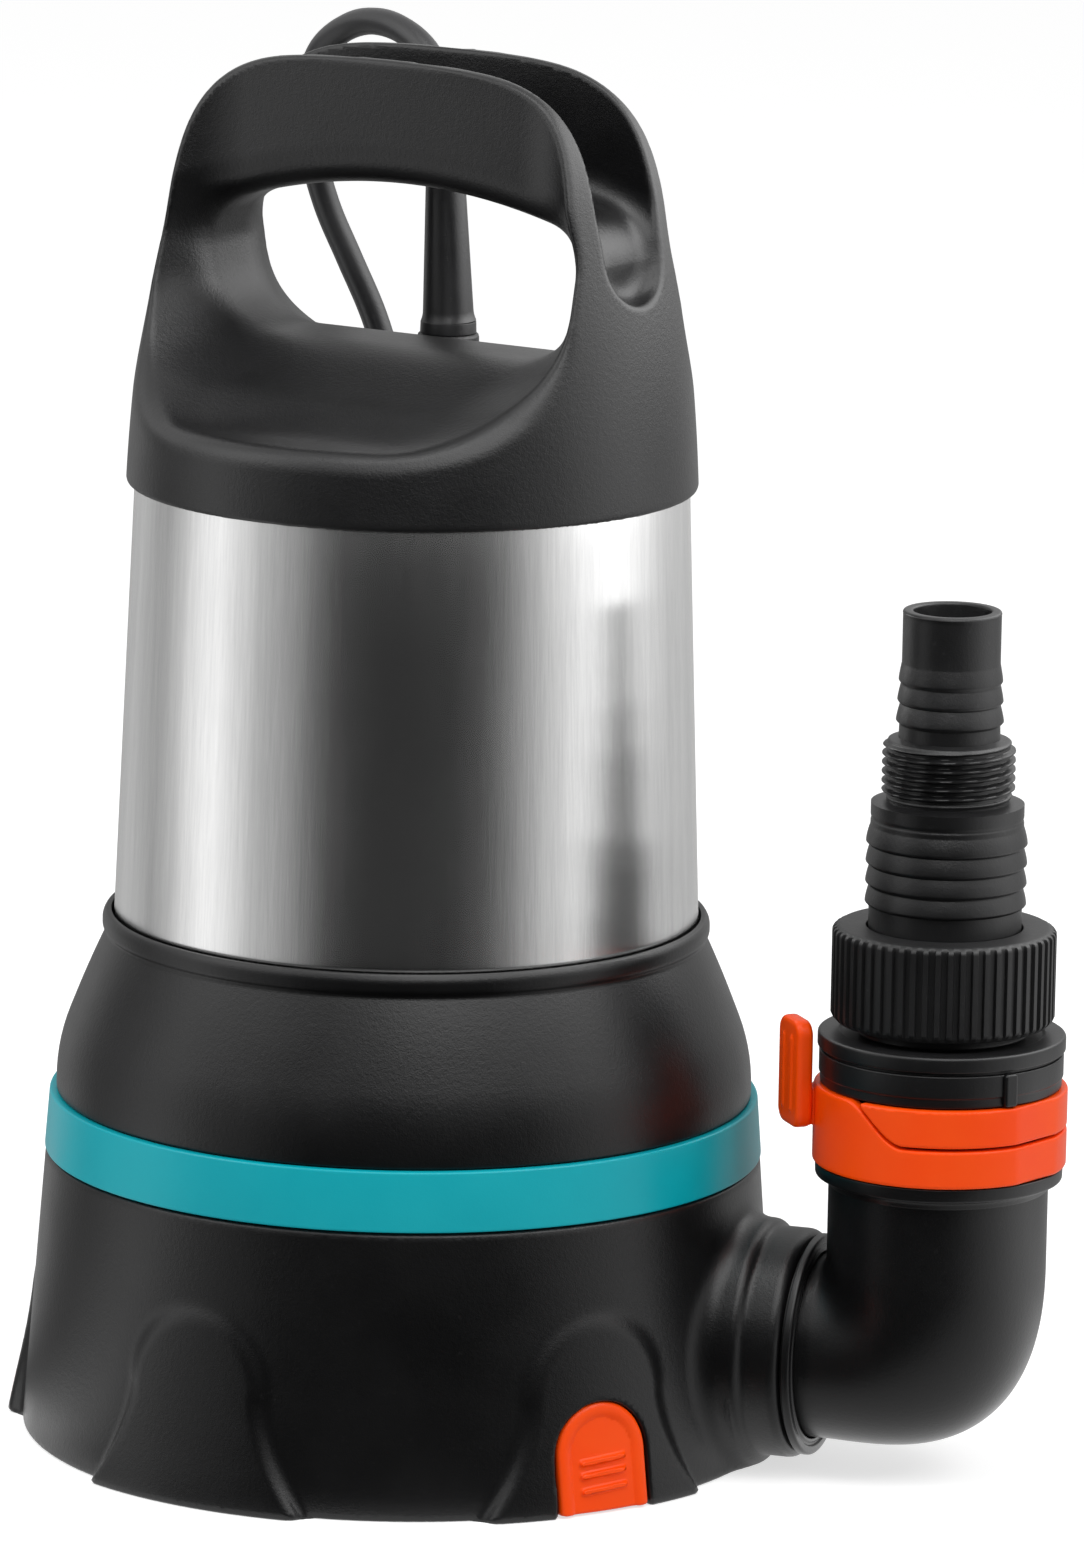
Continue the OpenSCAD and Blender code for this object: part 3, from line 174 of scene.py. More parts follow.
def soft_box(name, turn, height, distance, size, watts):
    """A square lamp at this direction, height and distance, turned to the pump's middle."""
    data = bpy.data.lights.new(name, "AREA")
    data.shape, data.size, data.size_y, data.energy = "RECTANGLE", size, size, watts
    lamp = new_object(name, data)
    c, s = cos_sin(view_turn - 90 + turn)
    lamp.location = Vector((c * distance, s * distance, height))
    lamp.rotation_euler = (Vector((0, 0, 0.17)) - lamp.location).to_track_quat("-Z", "Y").to_euler()
    lamp.visible_camera = False


soft_box("left_box", -70, 1.25, 1.3, 0.8, 10)
soft_box("right_box", 55, 1.35, 1.3, 0.9, 12)
soft_box("top_box", 0, 1.9, 0.5, 1.0, 10)

# Brightness of the panels by direction, at the heights that the jacket, the cap and the shoulder
# mirror: each is dark somewhere in front, with a strip on the left and a wider one on the right
low_glow = np.array([
    [-180, 0.35], [-150, 0.39], [-136, 0.74], [-122, 0.38], [-110, 0.14], [-100, 0.36], [-90, 0.98],
    [-82, 1.42], [-76, 1.45], [-70, 0.98], [-62, 0.42], [-54, 0.36], [-46, 0.58], [-38, 0.02],
    [-28, 0.0], [0, 0.02], [24, 0.01], [36, 0.0], [44, 0.32], [52, 0.6], [60, 0.8], [68, 1.13],
    [76, 1.42], [86, 1.5], [96, 1.25], [108, 0.72], [122, 0.53], [142, 0.58], [180, 0.35]])
middle_glow = np.concatenate([low_glow[:-8], [
    [68, 1.3], [80, 2.3], [100, 3.2], [120, 3.0], [140, 1.2], [180, 0.4]]])
high_glow = np.array([
    [-180, 0.9], [-140, 0.8], [-100, 1.2], [-81, 2.2], [-64, 2.1], [-50, 1.1], [-34, 0.7],
    [-20, 1.0], [-8, 2.3], [0, 3.2], [12, 3.7], [22, 3.4], [34, 2.7], [50, 2.2], [64, 3.6],
    [81, 5.2], [100, 5.2], [122, 3.0], [150, 1.0], [180, 0.9]])
low_from, low_to, middle_from, middle_to, high_from, high_to = 1.0, 272.0, 300.0, 365.0, 435.0, 1100.0
floor_r, ring_r = 106.0, 520.0
panel_rows = [(floor_r, low_from, low_glow), (ring_r, low_from, low_glow), (ring_r, low_to, low_glow),
              (ring_r, middle_from, middle_glow), (ring_r, middle_to, middle_glow),
              (ring_r, high_from, high_glow), (ring_r, high_to, high_glow)]
panel_material, panel_shader = new_material("studio_panels")
panel_tree = panel_material.node_tree
wire(panel_tree, panel_shader, {
    "Base Color": (0, 0, 0, 1), "Specular IOR Level": 0, "Emission Color": (1, 1, 1, 1),
    "Emission Strength": add_node(panel_tree, "Attribute", {}, attribute_name="glow").outputs["Fac"]})
turn = np.arange(-180, 181, 3.0)
a = np.radians(view_turn - 90 + turn)
ring = np.array([[r * np.cos(a), r * np.sin(a), h + 0 * a] for r, h, _ in panel_rows])
panels = stage_piece("panels", *sheet_of(np.moveaxis(ring, 1, -1)), panel_material)
glow = np.concatenate([np.interp(turn, *table.T) for _, _, table in panel_rows])
strength = panels.data.attributes.new("glow", "FLOAT", "POINT")
strength.data.foreach_set("value", glow.astype(np.float32))
panels.visible_camera = panels.visible_diffuse = panels.visible_shadow = False
panels.visible_transmission = False

scene.view_settings.view_transform = "Standard"

# ---- Base skirt ----
# The black skirt that the pump stands on: one moulding in a tough, finely grained plastic, with
# five bell-shaped bulges round its foot, openings for the three sliding feet, and the boss and
# collar of the outlet port.

base_r, base_top_r, base_h, wall = 96.3, 90.8, 72.0, 3.0
taper = (base_r - base_top_r) / base_h
port_z, collar_r, collar_x, collar_bore = 31.0, 29.0, 109.0, 25.45
bulge_turns = (-104, -40, 40, 104, 180)
bulge_out, bulge_top, bulge_arch_z, bulge_arch_r = 4.2, 48.0, 28.0, 17.5
foot_turns = (-40, 40, 180)
foot_half, foot_top, foot_lift, foot_gap = 12.7, 27.1, 0.6, 0.5
foot_arch_z = foot_top - foot_half
ledge_r, ledge_z, ledge_half = 78.0, 9.0, 3.0


def across_and_out(x, y, turn):
    """Distances across and along the level direction at this turn."""
    c, s = cos_sin(turn)
    return -x * s + y * c, x * c + y * s


def turned_round(points, turn):
    """Points turned about Z by so many degrees."""
    c, s = cos_sin(turn)
    return points @ np.array([[c, s, 0], [-s, c, 0], [0, 0, 1.0]])


def eased(t):
    """0 below 0, 1 above 1, and an S-shaped rise between."""
    t = np.clip(t, 0, 1)
    return t * t * (3 - 2 * t)


def smooth_max(a, b, k):
    """The larger of a and b, with the corner between them rounded over a width k."""
    h = np.maximum(k - np.abs(a - b), 0) / k
    return np.maximum(a, b) + h * h * k / 4


def smooth_min(a, b, k):
    """The smaller of a and b, with the corner between them filled over a width k."""
    return -smooth_max(-a, -b, k)


def skin_from_field(field, low, high, step):
    """The surface on which a field of distances is zero.

    Each cell of a cubic grid that the surface crosses gets one corner, at the mean of the points
    where it crosses the cell's edges, and each crossed edge gets a face between the four cells
    round it. The corners are then moved down the field's slope until they lie on the surface.
    """
    axes = [np.arange(a, b + step, step) for a, b in zip(low, high)]
    value = field(*np.meshgrid(*axes, indexing="ij", sparse=True))
    cells = np.array(value.shape) - 1
    total, count = np.zeros((3, *cells)), np.zeros(cells)
    crossings = []
    for axis in range(3):
        other = [i for i in range(3) if i != axis]
        a, b = (np.take(value, range(k, value.shape[axis] - 1 + k), axis) for k in (0, 1))
        crossed = (a < 0) != (b < 0)
        share = np.where(crossed, a / np.where(crossed, a - b, 1), 0)
        crossings.append((crossed, a < 0))
        for p in (0, 1):
            for q in (0, 1):
                cut = [slice(None)] * 3
                for o, k in zip(other, (p, q)):
                    cut[o] = slice(k, k + cells[o])
                hit = crossed[tuple(cut)]
                count += hit
                total[axis] += share[tuple(cut)]
                total[other[0]] += hit * p
                total[other[1]] += hit * q
    used = count > 0
    number = np.full(cells, -1)
    number[used] = np.arange(used.sum())
    points = low + step * (np.argwhere(used) + (total[:, used] / count[used]).T)
    faces = []
    for axis, (crossed, inside) in enumerate(crossings):
        other = [(axis + 1) % 3, (axis + 2) % 3]
        inner = [slice(1, -1)] * 3
        inner[axis] = slice(None)
        first_cell = np.argwhere(crossed[tuple(inner)])
        where = first_cell + [i != axis for i in range(3)]
        ring = []
        for p, q in ((0, 0), (1, 0), (1, 1), (0, 1)):
            cell = first_cell.copy()
            cell[:, other] += [p, q]
            ring.append(number[tuple(cell.T)])
        ring = np.stack(ring, 1)
        leaving = inside[tuple(where.T)]
        faces.append(np.where(leaving[:, None], ring, ring[:, ::-1]))
    for _ in range(4):
        distance, slope = field_slope(field, points)
        step_back = distance[:, None] * slope / np.maximum((slope * slope).sum(1), 0.05)[:, None]
        points = points - np.clip(step_back, -0.6 * step, 0.6 * step)
    normals = field_slope(field, points)[1]
    return points, np.concatenate(faces), normals / np.linalg.norm(normals, axis=1)[:, None]


def field_slope(field, points, nudge=0.02):
    """The field's value at some points, and how fast it rises along X, Y and Z."""
    def at(offset):
        p = points + offset
        return field(p[:, 0], p[:, 1], p[:, 2])
    steps = np.eye(3) * nudge
    return at(0), np.stack([(at(s) - at(-s)) / (2 * nudge) for s in steps], 1)


def add_piece(name, body, mesh, material, slot, replaces=()):
    """An object with this mesh and material that rides on a body and stands for CAD nodes."""
    mesh.materials.append(material)
    piece = new_object(name, mesh)
    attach(piece, body)
    if replaces:
        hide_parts(*replaces)
    return piece


def skinned_piece(name, body, field, low, high, step, material, turn=0.0, shift=(0, 0), **words):
    """A piece with the skin of a field, turned about Z and moved, shaded by the field's slope."""
    points, faces, normals = skin_from_field(field, low, high, step)
    mesh = new_mesh(name, turned_round(points, turn) + [*shift, 0], faces)
    mesh.polygons.foreach_set("use_smooth", np.ones(len(mesh.polygons), bool))
    mesh.normals_split_custom_set_from_vertices(turned_round(normals, turn).tolist())
    return add_piece(name, body, mesh, material, **words)


def node_group(name, inputs):
    """An empty shader node group with named inputs (name: default) that makes up a surface."""
    group = bpy.data.node_groups.new(name, "ShaderNodeTree")
    for label, default in inputs.items():
        kind = "NodeSocketColor" if isinstance(default, tuple) else "NodeSocketFloat"
        group.interface.new_socket(label, in_out="INPUT", socket_type=kind).default_value = default
    for label, kind in (("Colour", "Color"), ("Roughness", "Float"), ("Height", "Float")):
        group.interface.new_socket(label, in_out="OUTPUT", socket_type="NodeSocket" + kind)
    return group, group.nodes.new("NodeGroupInput").outputs, group.nodes.new("NodeGroupOutput")


def noise_of(tree, vector, scale, detail, roughness):
    """A noise texture in a node tree, read at a vector."""
    return add_node(tree, "TexNoise", {
        "Vector": vector, "Scale": scale, "Detail": detail, "Roughness": roughness}).outputs["Fac"]


def mixed(tree, share, a, b):
    """A colour between a and b."""
    return add_node(tree, "Mix", {0: share, 6: a, 7: b}, data_type="RGBA").outputs[2]


def span(tree, value, low, high, to_low=0.0, to_high=1.0):
    """A value moved from one range into another."""
    return add_node(tree, "MapRange", {
        "Value": value, "From Min": low, "From Max": high, "To Min": to_low,
        "To Max": to_high}).outputs["Result"]


# Spark-eroded grain of a moulded plastic: tiny pits and rises, a slow change of gloss and colour,
# and a trace of pale dust
grain, look, grain_out = node_group("moulded_grain", {
    "Colour": (0.02, 0.02, 0.02, 1), "Pale Colour": (0.03, 0.03, 0.03, 1),
    "Dust Colour": (0.1, 0.1, 0.1, 1), "Dust": 0.1, "Gloss Low": 0.35, "Gloss High": 0.45})
place = add_node(grain, "TexCoord", {}).outputs["Object"]
clouds = noise_of(grain, place, 28, 4.0, 0.6)
specks = span(grain, noise_of(grain, place, 420, 5.0, 0.75), 0.62, 0.78)
toned = mixed(grain, span(grain, clouds, 0.35, 0.65), look["Colour"], look["Pale Colour"])
wire(grain, grain_out, {
    "Colour": mixed(grain, worked_out(grain, "MULTIPLY", specks, look["Dust"]), toned,
                    look["Dust Colour"]),
    "Roughness": span(grain, clouds, 0.3, 0.7, look["Gloss Low"], look["Gloss High"]),
    "Height": worked_out(grain, "ADD", noise_of(grain, place, 2600, 2.0, 0.6),
                         noise_of(grain, place, 900, 2.0, 0.5))})


def srgb(red, green, blue):
    """A colour written as screen values from 0 to 255, made linear for a shader."""
    c = np.array([red, green, blue]) / 255
    linear = np.where(c <= 0.04045, c / 12.92, ((c + 0.055) / 1.055) ** 2.4)
    return (*linear.tolist(), 1.0)


def surfaced(name, group, looks, depth, **other):
    """A material with a shared surface whose height is this deep, in millimetres."""
    material, shader = new_material(name)
    tree = material.node_tree
    shared = add_node(tree, "Group", {}, node_tree=group)
    wire(tree, shared, looks)
    bump = add_node(tree, "Bump", {"Height": shared.outputs["Height"], "Distance": depth * MM})
    wire(tree, shader, {"Base Color": shared.outputs["Colour"], "Normal": bump.outputs["Normal"],
                        "Roughness": shared.outputs["Roughness"], **other})
    return material


def moulded_plastic(name, colour, pale, dust, gloss, depth, level=0.5,
                    dust_tone=(0.12, 0.12, 0.12, 1)):
    """A plastic in two tones with dust, its gloss between two roughnesses, and its grain's depth."""
    return surfaced(name, grain, {
        "Colour": colour, "Pale Colour": pale, "Dust Colour": dust_tone, "Dust": dust,
        "Gloss Low": gloss[0], "Gloss High": gloss[1]}, depth, **{"Specular IOR Level": level})


base_plastic = moulded_plastic(
    "base_plastic", srgb(9, 9, 10), srgb(13, 13, 14), 0.08, (0.32, 0.4), 0.05, 0.4)


def base_at(z):
    return base_r - taper * z


def bulge_outline(across, z):
    """Signed distance to a bell: a round arch over sides that spread ever faster to the floor."""
    spread = bulge_arch_r + 0.101 * np.maximum(bulge_arch_z - z, 0) ** 1.48
    return np.where(z < bulge_arch_z, np.abs(across) - spread,
                    np.hypot(across, z - bulge_arch_z) - bulge_arch_r)


def foot_outline(across, z, grow=0.0):
    """Signed distance to a foot's upright plate with its round top."""
    from_middle = np.where(z < foot_arch_z, np.abs(across), np.hypot(across, z - foot_arch_z))
    return from_middle - foot_half - grow


def bulge_front(z):
    """Radius of a bulge's front: furthest out at the floor, inside the skirt at its top."""
    return base_r + bulge_out - (base_r + bulge_out - base_at(bulge_top) + 0.5) * z / bulge_top


def base_field(x, y, z):
    radius = np.hypot(x, y)
    skirt = smooth_max(smooth_max(radius - base_at(z), z - base_h, 1.6), -z, 1.6)
    for turn in bulge_turns:
        across, out = across_and_out(x, y, turn)
        bulge = smooth_max(radius - bulge_front(z), bulge_outline(across, z), 2.6)
        bulge = smooth_max(smooth_max(bulge, 40 - out, 1), -z, 1.6)
        skirt = smooth_min(skirt, bulge, 2.0 + 0.09 * np.clip(z, 0, 60))
    from_port = np.hypot(y, z - port_z)
    boss = smooth_max(smooth_max(from_port - collar_r - 1.8, x - base_at(port_z) - 5, 2.2), 60 - x, 1)
    collar = smooth_max(smooth_max(from_port - collar_r, x - collar_x, 3.0), 60 - x, 1)
    solid = smooth_min(skirt, smooth_min(boss, collar, 1.5), 5.0)
    ledge = smooth_max(ledge_r - radius, np.abs(z - ledge_z) - ledge_half, 1)
    hollow = smooth_max(radius - base_at(z) + wall, -ledge, 1)
    solid = smooth_max(solid, -hollow, 1.2)
    solid = smooth_max(solid, -smooth_max(from_port - collar_bore, 70 - x, 1), 1.2)
    for turn in foot_turns:
        across, out = across_and_out(x, y, turn)
        solid = smooth_max(solid, -smooth_max(foot_outline(across, z, foot_gap), 60 - out, 1), 1.2)
    return solid


skinned_piece("base_skirt_moulding", "pump", base_field, (-104, -104, -2), (112, 104, 75), 1.15,
              base_plastic, replaces=["base_skirt"], slot="black_plastic")

# ---- Sliding feet ----
# Three glossy orange feet, pushed in flush here, that slide down to lift the skirt off the floor.
# Each is one moulding: a round-topped face with a shallow dish and three finger ribs, and a tongue
# behind it that clips inside the skirt.

orange_plastic = moulded_plastic("orange_plastic", srgb(250, 72, 0), srgb(252, 80, 4), 0.05,
                                 (0.3, 0.38), 0.02, 0.2, (0.75, 0.2, 0.02, 1))


def foot_field(x, y, z):
    """A foot's face and ribs in front of its tongue, for a foot that looks along X."""
    edge = foot_outline(y, z - foot_lift)
    dish = 0.9 * np.clip((-edge - 1.6) / 2.4, 0, 1) ** 2
    front = np.hypot(x, y) - bulge_front(z) - 0.1 + dish
    for rib in (6.4, 10.2, 13.4):
        ridge = smooth_max(np.abs(z - rib - 0.06 * y) - 0.55, np.abs(y) - 6.5, 0.8)
        front = smooth_min(front, np.maximum(front - 1.0, ridge), 0.9)
    plate = smooth_max(smooth_max(front, edge, 1.6), foot_lift - z, 1.0)
    plate = smooth_max(plate, 88.4 - x, 0.8)
    tongue = np.maximum(np.maximum(np.abs(x - 87.7) - 1.1, np.abs(y) - 6), np.abs(z - 19.6) - 19)
    return smooth_min(plate, tongue, 0.6)


for number, turn in enumerate(foot_turns, 1):
    skinned_piece(f"foot_{number}_face", f"foot_{number}", foot_field, (85.6, -14.2, -0.8),
                  (102, 14.2, 40), 0.6, orange_plastic, turn=turn,
                  replaces=[f"foot_slider_{number}"], slot="orange_plastic")

# ---- Strainer plate ----
# The flat slotted plate under the pump keeps stones out of the impeller; five zinc-plated screws
# hold it and the pump casing to the ledge of the skirt.

# Rolled, plated or cast metal: slow clouds of tone and gloss over a fine tooth
metal, look, metal_out = node_group("worked_metal", {
    "Colour": (0.6, 0.6, 0.6, 1), "Dull Colour": (0.4, 0.4, 0.4, 1), "Gloss Low": 0.25,
    "Gloss High": 0.45})
place = add_node(metal, "TexCoord", {}).outputs["Object"]
tarnish = noise_of(metal, place, 60, 5.0, 0.65)
wire(metal, metal_out, {
    "Colour": mixed(metal, span(metal, tarnish, 0.35, 0.7), look["Colour"], look["Dull Colour"]),
    "Roughness": span(metal, tarnish, 0.3, 0.7, look["Gloss Low"], look["Gloss High"]),
    "Height": noise_of(metal, place, 1500, 3.0, 0.6)})


def worked_metal(name, colour, dull, gloss, depth):
    """A metal in two tones, its gloss between two roughnesses, and the depth of its tooth."""
    return surfaced(name, metal, {"Colour": colour, "Dull Colour": dull, "Gloss Low": gloss[0],
                                  "Gloss High": gloss[1]}, depth, Metallic=1.0)


def finish_nodes(material, *names):
    """Gives CAD nodes that keep their own shape this material."""
    for name in names:
        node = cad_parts[name]
        for i in range(max(1, len(node.material_slots))):
            if len(node.material_slots) <= i:
                node.data.materials.append(material)
            node.material_slots[i].material = material


zinc_plate = worked_metal("zinc_plate", (0.62, 0.63, 0.65, 1), (0.42, 0.42, 0.42, 1),
                          (0.25, 0.42), 0.02)
finish_nodes(base_plastic, "suction_plate")
finish_nodes(zinc_plate, "plate_screws")

# ---- Colour band ----
# A separate teal ring of glossy plastic, trapped between the skirt and the shoulder with a fine
# shadow gap along both edges.

band_z, band_h, band_r, band_draft, sleeve_r, shadow_gap = 72.0, 15.7, 91.1, 1.2, 87.4, 0.3


def rounded_loop(corners, points_each=6):
    """A closed outline through corners (radius, height, rounding), each cut by a small curve.

    The curve of a corner runs from the point that lies one rounding before it to the one after it,
    bent to the corner: (1-t)^2 A + 2t(1-t) P + t^2 B.
    """
    c = np.array(corners, float)
    p, r = c[:, :2], c[:, 2:3]
    before, after = np.roll(p, 1, 0) - p, np.roll(p, -1, 0) - p
    a = p + before / np.linalg.norm(before, axis=1)[:, None] * r
    b = p + after / np.linalg.norm(after, axis=1)[:, None] * r
    t = np.linspace(0, 1, points_each)[None, :, None]
    curve = (1 - t) ** 2 * a[:, None] + 2 * t * (1 - t) * p[:, None] + t * t * b[:, None]
    loop = curve.reshape(-1, 2)
    apart = np.linalg.norm(loop - np.roll(loop, 1, 0), axis=1) > 1e-4
    return loop[apart]


def smooth_shaded(mesh, sharp):
    """Shades a mesh smooth, with an edge left sharp where its faces meet at more than this angle."""
    mesh.polygons.foreach_set("use_smooth", np.ones(len(mesh.polygons), bool))
    mesh.set_sharp_from_angle(angle=math.radians(sharp))
    return mesh


def equal_turns(count):
    """So many equal steps round a circle, in radians, as one row."""
    return np.linspace(0, 2 * np.pi, count, endpoint=False)[None, :]


def round_points(r, z, a, centre=(0.0, 0.0)):
    """A grid of points at these radii, heights and turns round an upright axis."""
    return np.stack([centre[0] + r * np.cos(a), centre[1] + r * np.sin(a), z + 0 * a], -1)


def turned_points(loop, segments=192, centre=(0.0, 0.0)):
    """An outline (radius, height), drawn anticlockwise, turned about an upright axis."""
    return round_points(loop[:, :1], loop[:, 1:], equal_turns(segments), centre)


def ring_piece(name, body, points, material, sharp=35.0, **words):
    """A piece whose grid of points closes both ways."""
    mesh = smooth_shaded(new_mesh(name, *sheet_of(points, True, True)), sharp)
    return add_piece(name, body, mesh, material, **words)


def turned_piece(name, body, loop, material, segments=192, centre=(0.0, 0.0), **words):
    """A ring with this closed outline."""
    return ring_piece(name, body, turned_points(loop, segments, centre), material, **words)


band_low, band_high = band_z + shadow_gap, band_z + band_h - shadow_gap
teal_plastic = moulded_plastic("teal_plastic", srgb(0, 158, 171), srgb(4, 164, 176), 0.04,
                               (0.3, 0.38), 0.02, 0.25, (0.1, 0.45, 0.5, 1))
turned_piece("colour_band_ring", "pump", rounded_loop([
    (sleeve_r + 0.1, band_low, 0.2), (band_r, band_low, 0.7),
    (band_r - band_draft, band_high, 0.7), (sleeve_r + 0.1, band_high, 0.2)]),
    teal_plastic, segments=256, replaces=["colour_band"], slot="teal_plastic")

# ---- Shoulder ----
# A second black moulding: a short upright wall, a soft crease, a long slope in to the jacket and a
# rounded lip that the jacket's lower edge drops behind; its sleeve plugs into the skirt.

turned_piece("shoulder_moulding", "pump", rounded_loop([
    (36, 68, 0.5), (sleeve_r, 68, 0.8), (sleeve_r, 87.7, 0.2), (88.2, 87.7, 0.5),
    (88.35, 98.3, 9.0), (79.0, 122.2, 12.0), (75.9, 128.4, 0.8), (76.9, 129.6, 0.8),
    (76.9, 132.4, 1.0), (75.9, 134.0, 0.6), (74.65, 133.9, 0.2), (74.6, 118.0, 0.3),
    (69.4, 118.0, 0.3), (69.4, 115.0, 0.3), (83.2, 99.2, 2.0), (84.4, 73.0, 0.5),
    (36, 73, 0.5)], 8),
    base_plastic, segments=256, replaces=["mid_housing"], slot="black_plastic")

# ---- Steel jacket ----
# A tapered sleeve of stainless sheet, brushed along the pump's axis, that carries the heat of the
# motor into the water; it stands bare, between a rubber ring at each end.

jacket_z, jacket_top, jacket_r, jacket_top_r, jacket_wall = 122.0, 250.0, 74.4, 69.5, 1.0
jacket_steel, jacket_shader = new_material("jacket_steel")
steel_tree = jacket_steel.node_tree


def streaks(scale, stretch, detail, roughness):
    """Noise drawn out along Z, as lines of brushing lie on the sheet."""
    where = add_node(steel_tree, "TexCoord", {}).outputs["Object"]
    drawn = add_node(steel_tree, "Mapping", {"Vector": where, "Scale": (1, 1, stretch)})
    return noise_of(steel_tree, drawn.outputs["Vector"], scale, detail, roughness)


lines = worked_out(steel_tree, "ADD", streaks(1700, 0.004, 4.0, 0.7), streaks(260, 0.012, 3.0, 0.6))
brushed = add_node(steel_tree, "Bump", {"Height": lines, "Distance": 0.012 * MM})
smears = streaks(34, 0.5, 4.0, 0.6)
dull_steel, bright_steel = (0.76, 0.76, 0.76, 1), (0.93, 0.93, 0.925, 1)
wire(steel_tree, jacket_shader, {
    "Metallic": 1.0, "Anisotropic": 0.9, "Normal": brushed.outputs["Normal"],
    "Base Color": mixed(steel_tree, span(steel_tree, lines, 0.6, 1.4), dull_steel, bright_steel),
    "Roughness": span(steel_tree, smears, 0.3, 0.7, 0.228, 0.248)})
turned_piece("jacket_sheet", "pump", rounded_loop([
    (jacket_r, jacket_z, 0.2), (jacket_top_r, jacket_top, 0.2),
    (jacket_top_r - jacket_wall, jacket_top, 0.2), (jacket_r - jacket_wall, jacket_z, 0.2)], 3),
    jacket_steel, segments=384, replaces=["steel_jacket"], slot="jacket_steel")

# Seals: soft black rubber with a dull bloom
seal_rubber = moulded_plastic("seal_rubber", (0.016, 0.016, 0.016, 1), (0.024, 0.024, 0.024, 1),
                              0.5, (0.6, 0.75), 0.03, 0.3)
finish_nodes(seal_rubber, "jacket_seal_lower", "jacket_seal_upper")

# ---- Cap and handle ----
# One thick moulding in a finely spark-eroded black: the rounded cap that closes the pump, scooped
# out in front and behind down to a curved saddle, so that a U-shaped channel of two thin cheeks is
# left over it as the handle. It is hollow below, and has a pad for the cable's boot.

cap_z, cap_round_z, cap_round_h, cap_r = 243.5, 312.0, 40.0, 71.9
handle_turn, cheek_out, channel_half = -13.7, 17.0, 13.5
saddle_z, saddle_r, edge_z = 280.0, 91.0, 265.0
cap_plastic = moulded_plastic(
    "cap_plastic", srgb(12, 12, 13), srgb(16, 16, 17), 0.08, (0.31, 0.39), 0.06, 0.45)


def rounded_box(a, b, half_a, half_b, round_):
    """Signed distance to a rectangle of these half sizes with rounded corners."""
    qa, qb = np.abs(a) - half_a + round_, np.abs(b) - half_b + round_
    return np.hypot(np.maximum(qa, 0), np.maximum(qb, 0)) + np.minimum(np.maximum(qa, qb), 0) - round_


def cap_side(z):
    """Radius of the cap's upright wall, which draws in steadily and then faster."""
    return cap_r - 0.0443 * (z - cap_z) - 0.000995 * (z - cap_z) ** 2


def grip_outline(s, z):
    """Signed distance to the grip opening's outline, seen along the handle's short way."""
    top = 320.2 - 0.0031 * s * s + 0.012 * s
    low = np.maximum(305 - z, 0)
    return smooth_max(z - top, np.abs(s) - (56.3 - 0.1 * low - 0.008 * low ** 2), 11.0)


boot_x, boot_y, boot_z, boot_pad_h = 8.0, 40.0, 275.5, 13.5
cord_turn = 18.0
boot_s, boot_t, _ = turned_round(np.array([boot_x, boot_y, 0.0]), cord_turn - handle_turn)
tie_turns, tie_r, post_r, lid_z = (70, 190, 310), 58.0, 5.0, 253.0


def cap_field(x, y, z):
    """The cap in the handle's own direction: X along it and Y across it.

    The outside is a round wall whose radius is cap_side, times (1 - lift^4)^(1/4) over its top.
    What lies above the saddle and outside the cheeks, or inside the grip's outline, is taken away,
    then the channel between the cheeks, then the hollow below.
    """
    radius = np.hypot(x, y)
    lift = np.clip((z - cap_round_z) / cap_round_h, 0, 0.9999)
    wall_r = cap_side(z) * (1 - lift ** 4) ** 0.25
    body = (radius - wall_r) / np.sqrt(1 + 4 * lift ** 8)
    body = smooth_max(smooth_max(body, z - 352.3, 3.0), cap_z - z, 1.4)
    saddle = saddle_z - saddle_r + np.sqrt(np.maximum(saddle_r ** 2 - y * y, 900))
    ground = smooth_max(saddle, edge_z + 0 * saddle, 6.0)
    scoop = smooth_max(smooth_max(cheek_out - np.abs(y), np.abs(x) - 64.2, 24.0), ground - z, 20.0)
    grip = smooth_max(grip_outline(x, z), ground - z, 14.0)
    void = smooth_min(scoop, grip, 11.0)
    edge = 2.0 + 4.0 * np.clip((292 - z) / 22, 0, 1)
    solid = smooth_max(body, -void, edge)
    in_channel = np.where(z > 308.5, np.abs(y), np.hypot(y, z - 308.5)) - channel_half
    solid = smooth_max(solid, -smooth_max(in_channel, 4.2 - grip_outline(x, z), 7.0), 1.8)
    from_boot = np.hypot(x - boot_s, y - boot_t)
    pad = np.maximum(smooth_max(from_boot - 7.9, z - boot_z, 1.2), boot_z - boot_pad_h - z)
    solid = smooth_min(solid, pad, 3.0)
    hollow = np.minimum(np.maximum(radius - cap_side(z) + 2.0, z - lid_z),
                        smooth_max(np.maximum(radius - 65.5, z - saddle + 3.2), z - 266, 6))
    for turn in tie_turns:
        c, s = cos_sin(turn - handle_turn)
        post = np.hypot(x - tie_r * c, y - tie_r * s) - post_r
        hollow = np.maximum(hollow, np.minimum(-post, z - lid_z))
    solid = smooth_max(solid, -hollow, 0.8)
    return smooth_max(solid, -np.maximum(from_boot - 5.1, np.abs(z - 268) - 12), 0.5)


skinned_piece("cap_and_handle", "pump", cap_field, (-74, -74, 241), (74, 74, 355), 1.06,
              cap_plastic, turn=handle_turn, replaces=["cap_handle"], slot="cap_plastic")

# ---- Inside the pump ----
# The working parts that the jacket and the skirt hide: pump casing, impeller, seals, bearings,
# rotor, stator with its copper windings, capacitor and terminals, held together by three long tie
# screws. Each keeps the shape of the frame and gets its own metal or plastic.

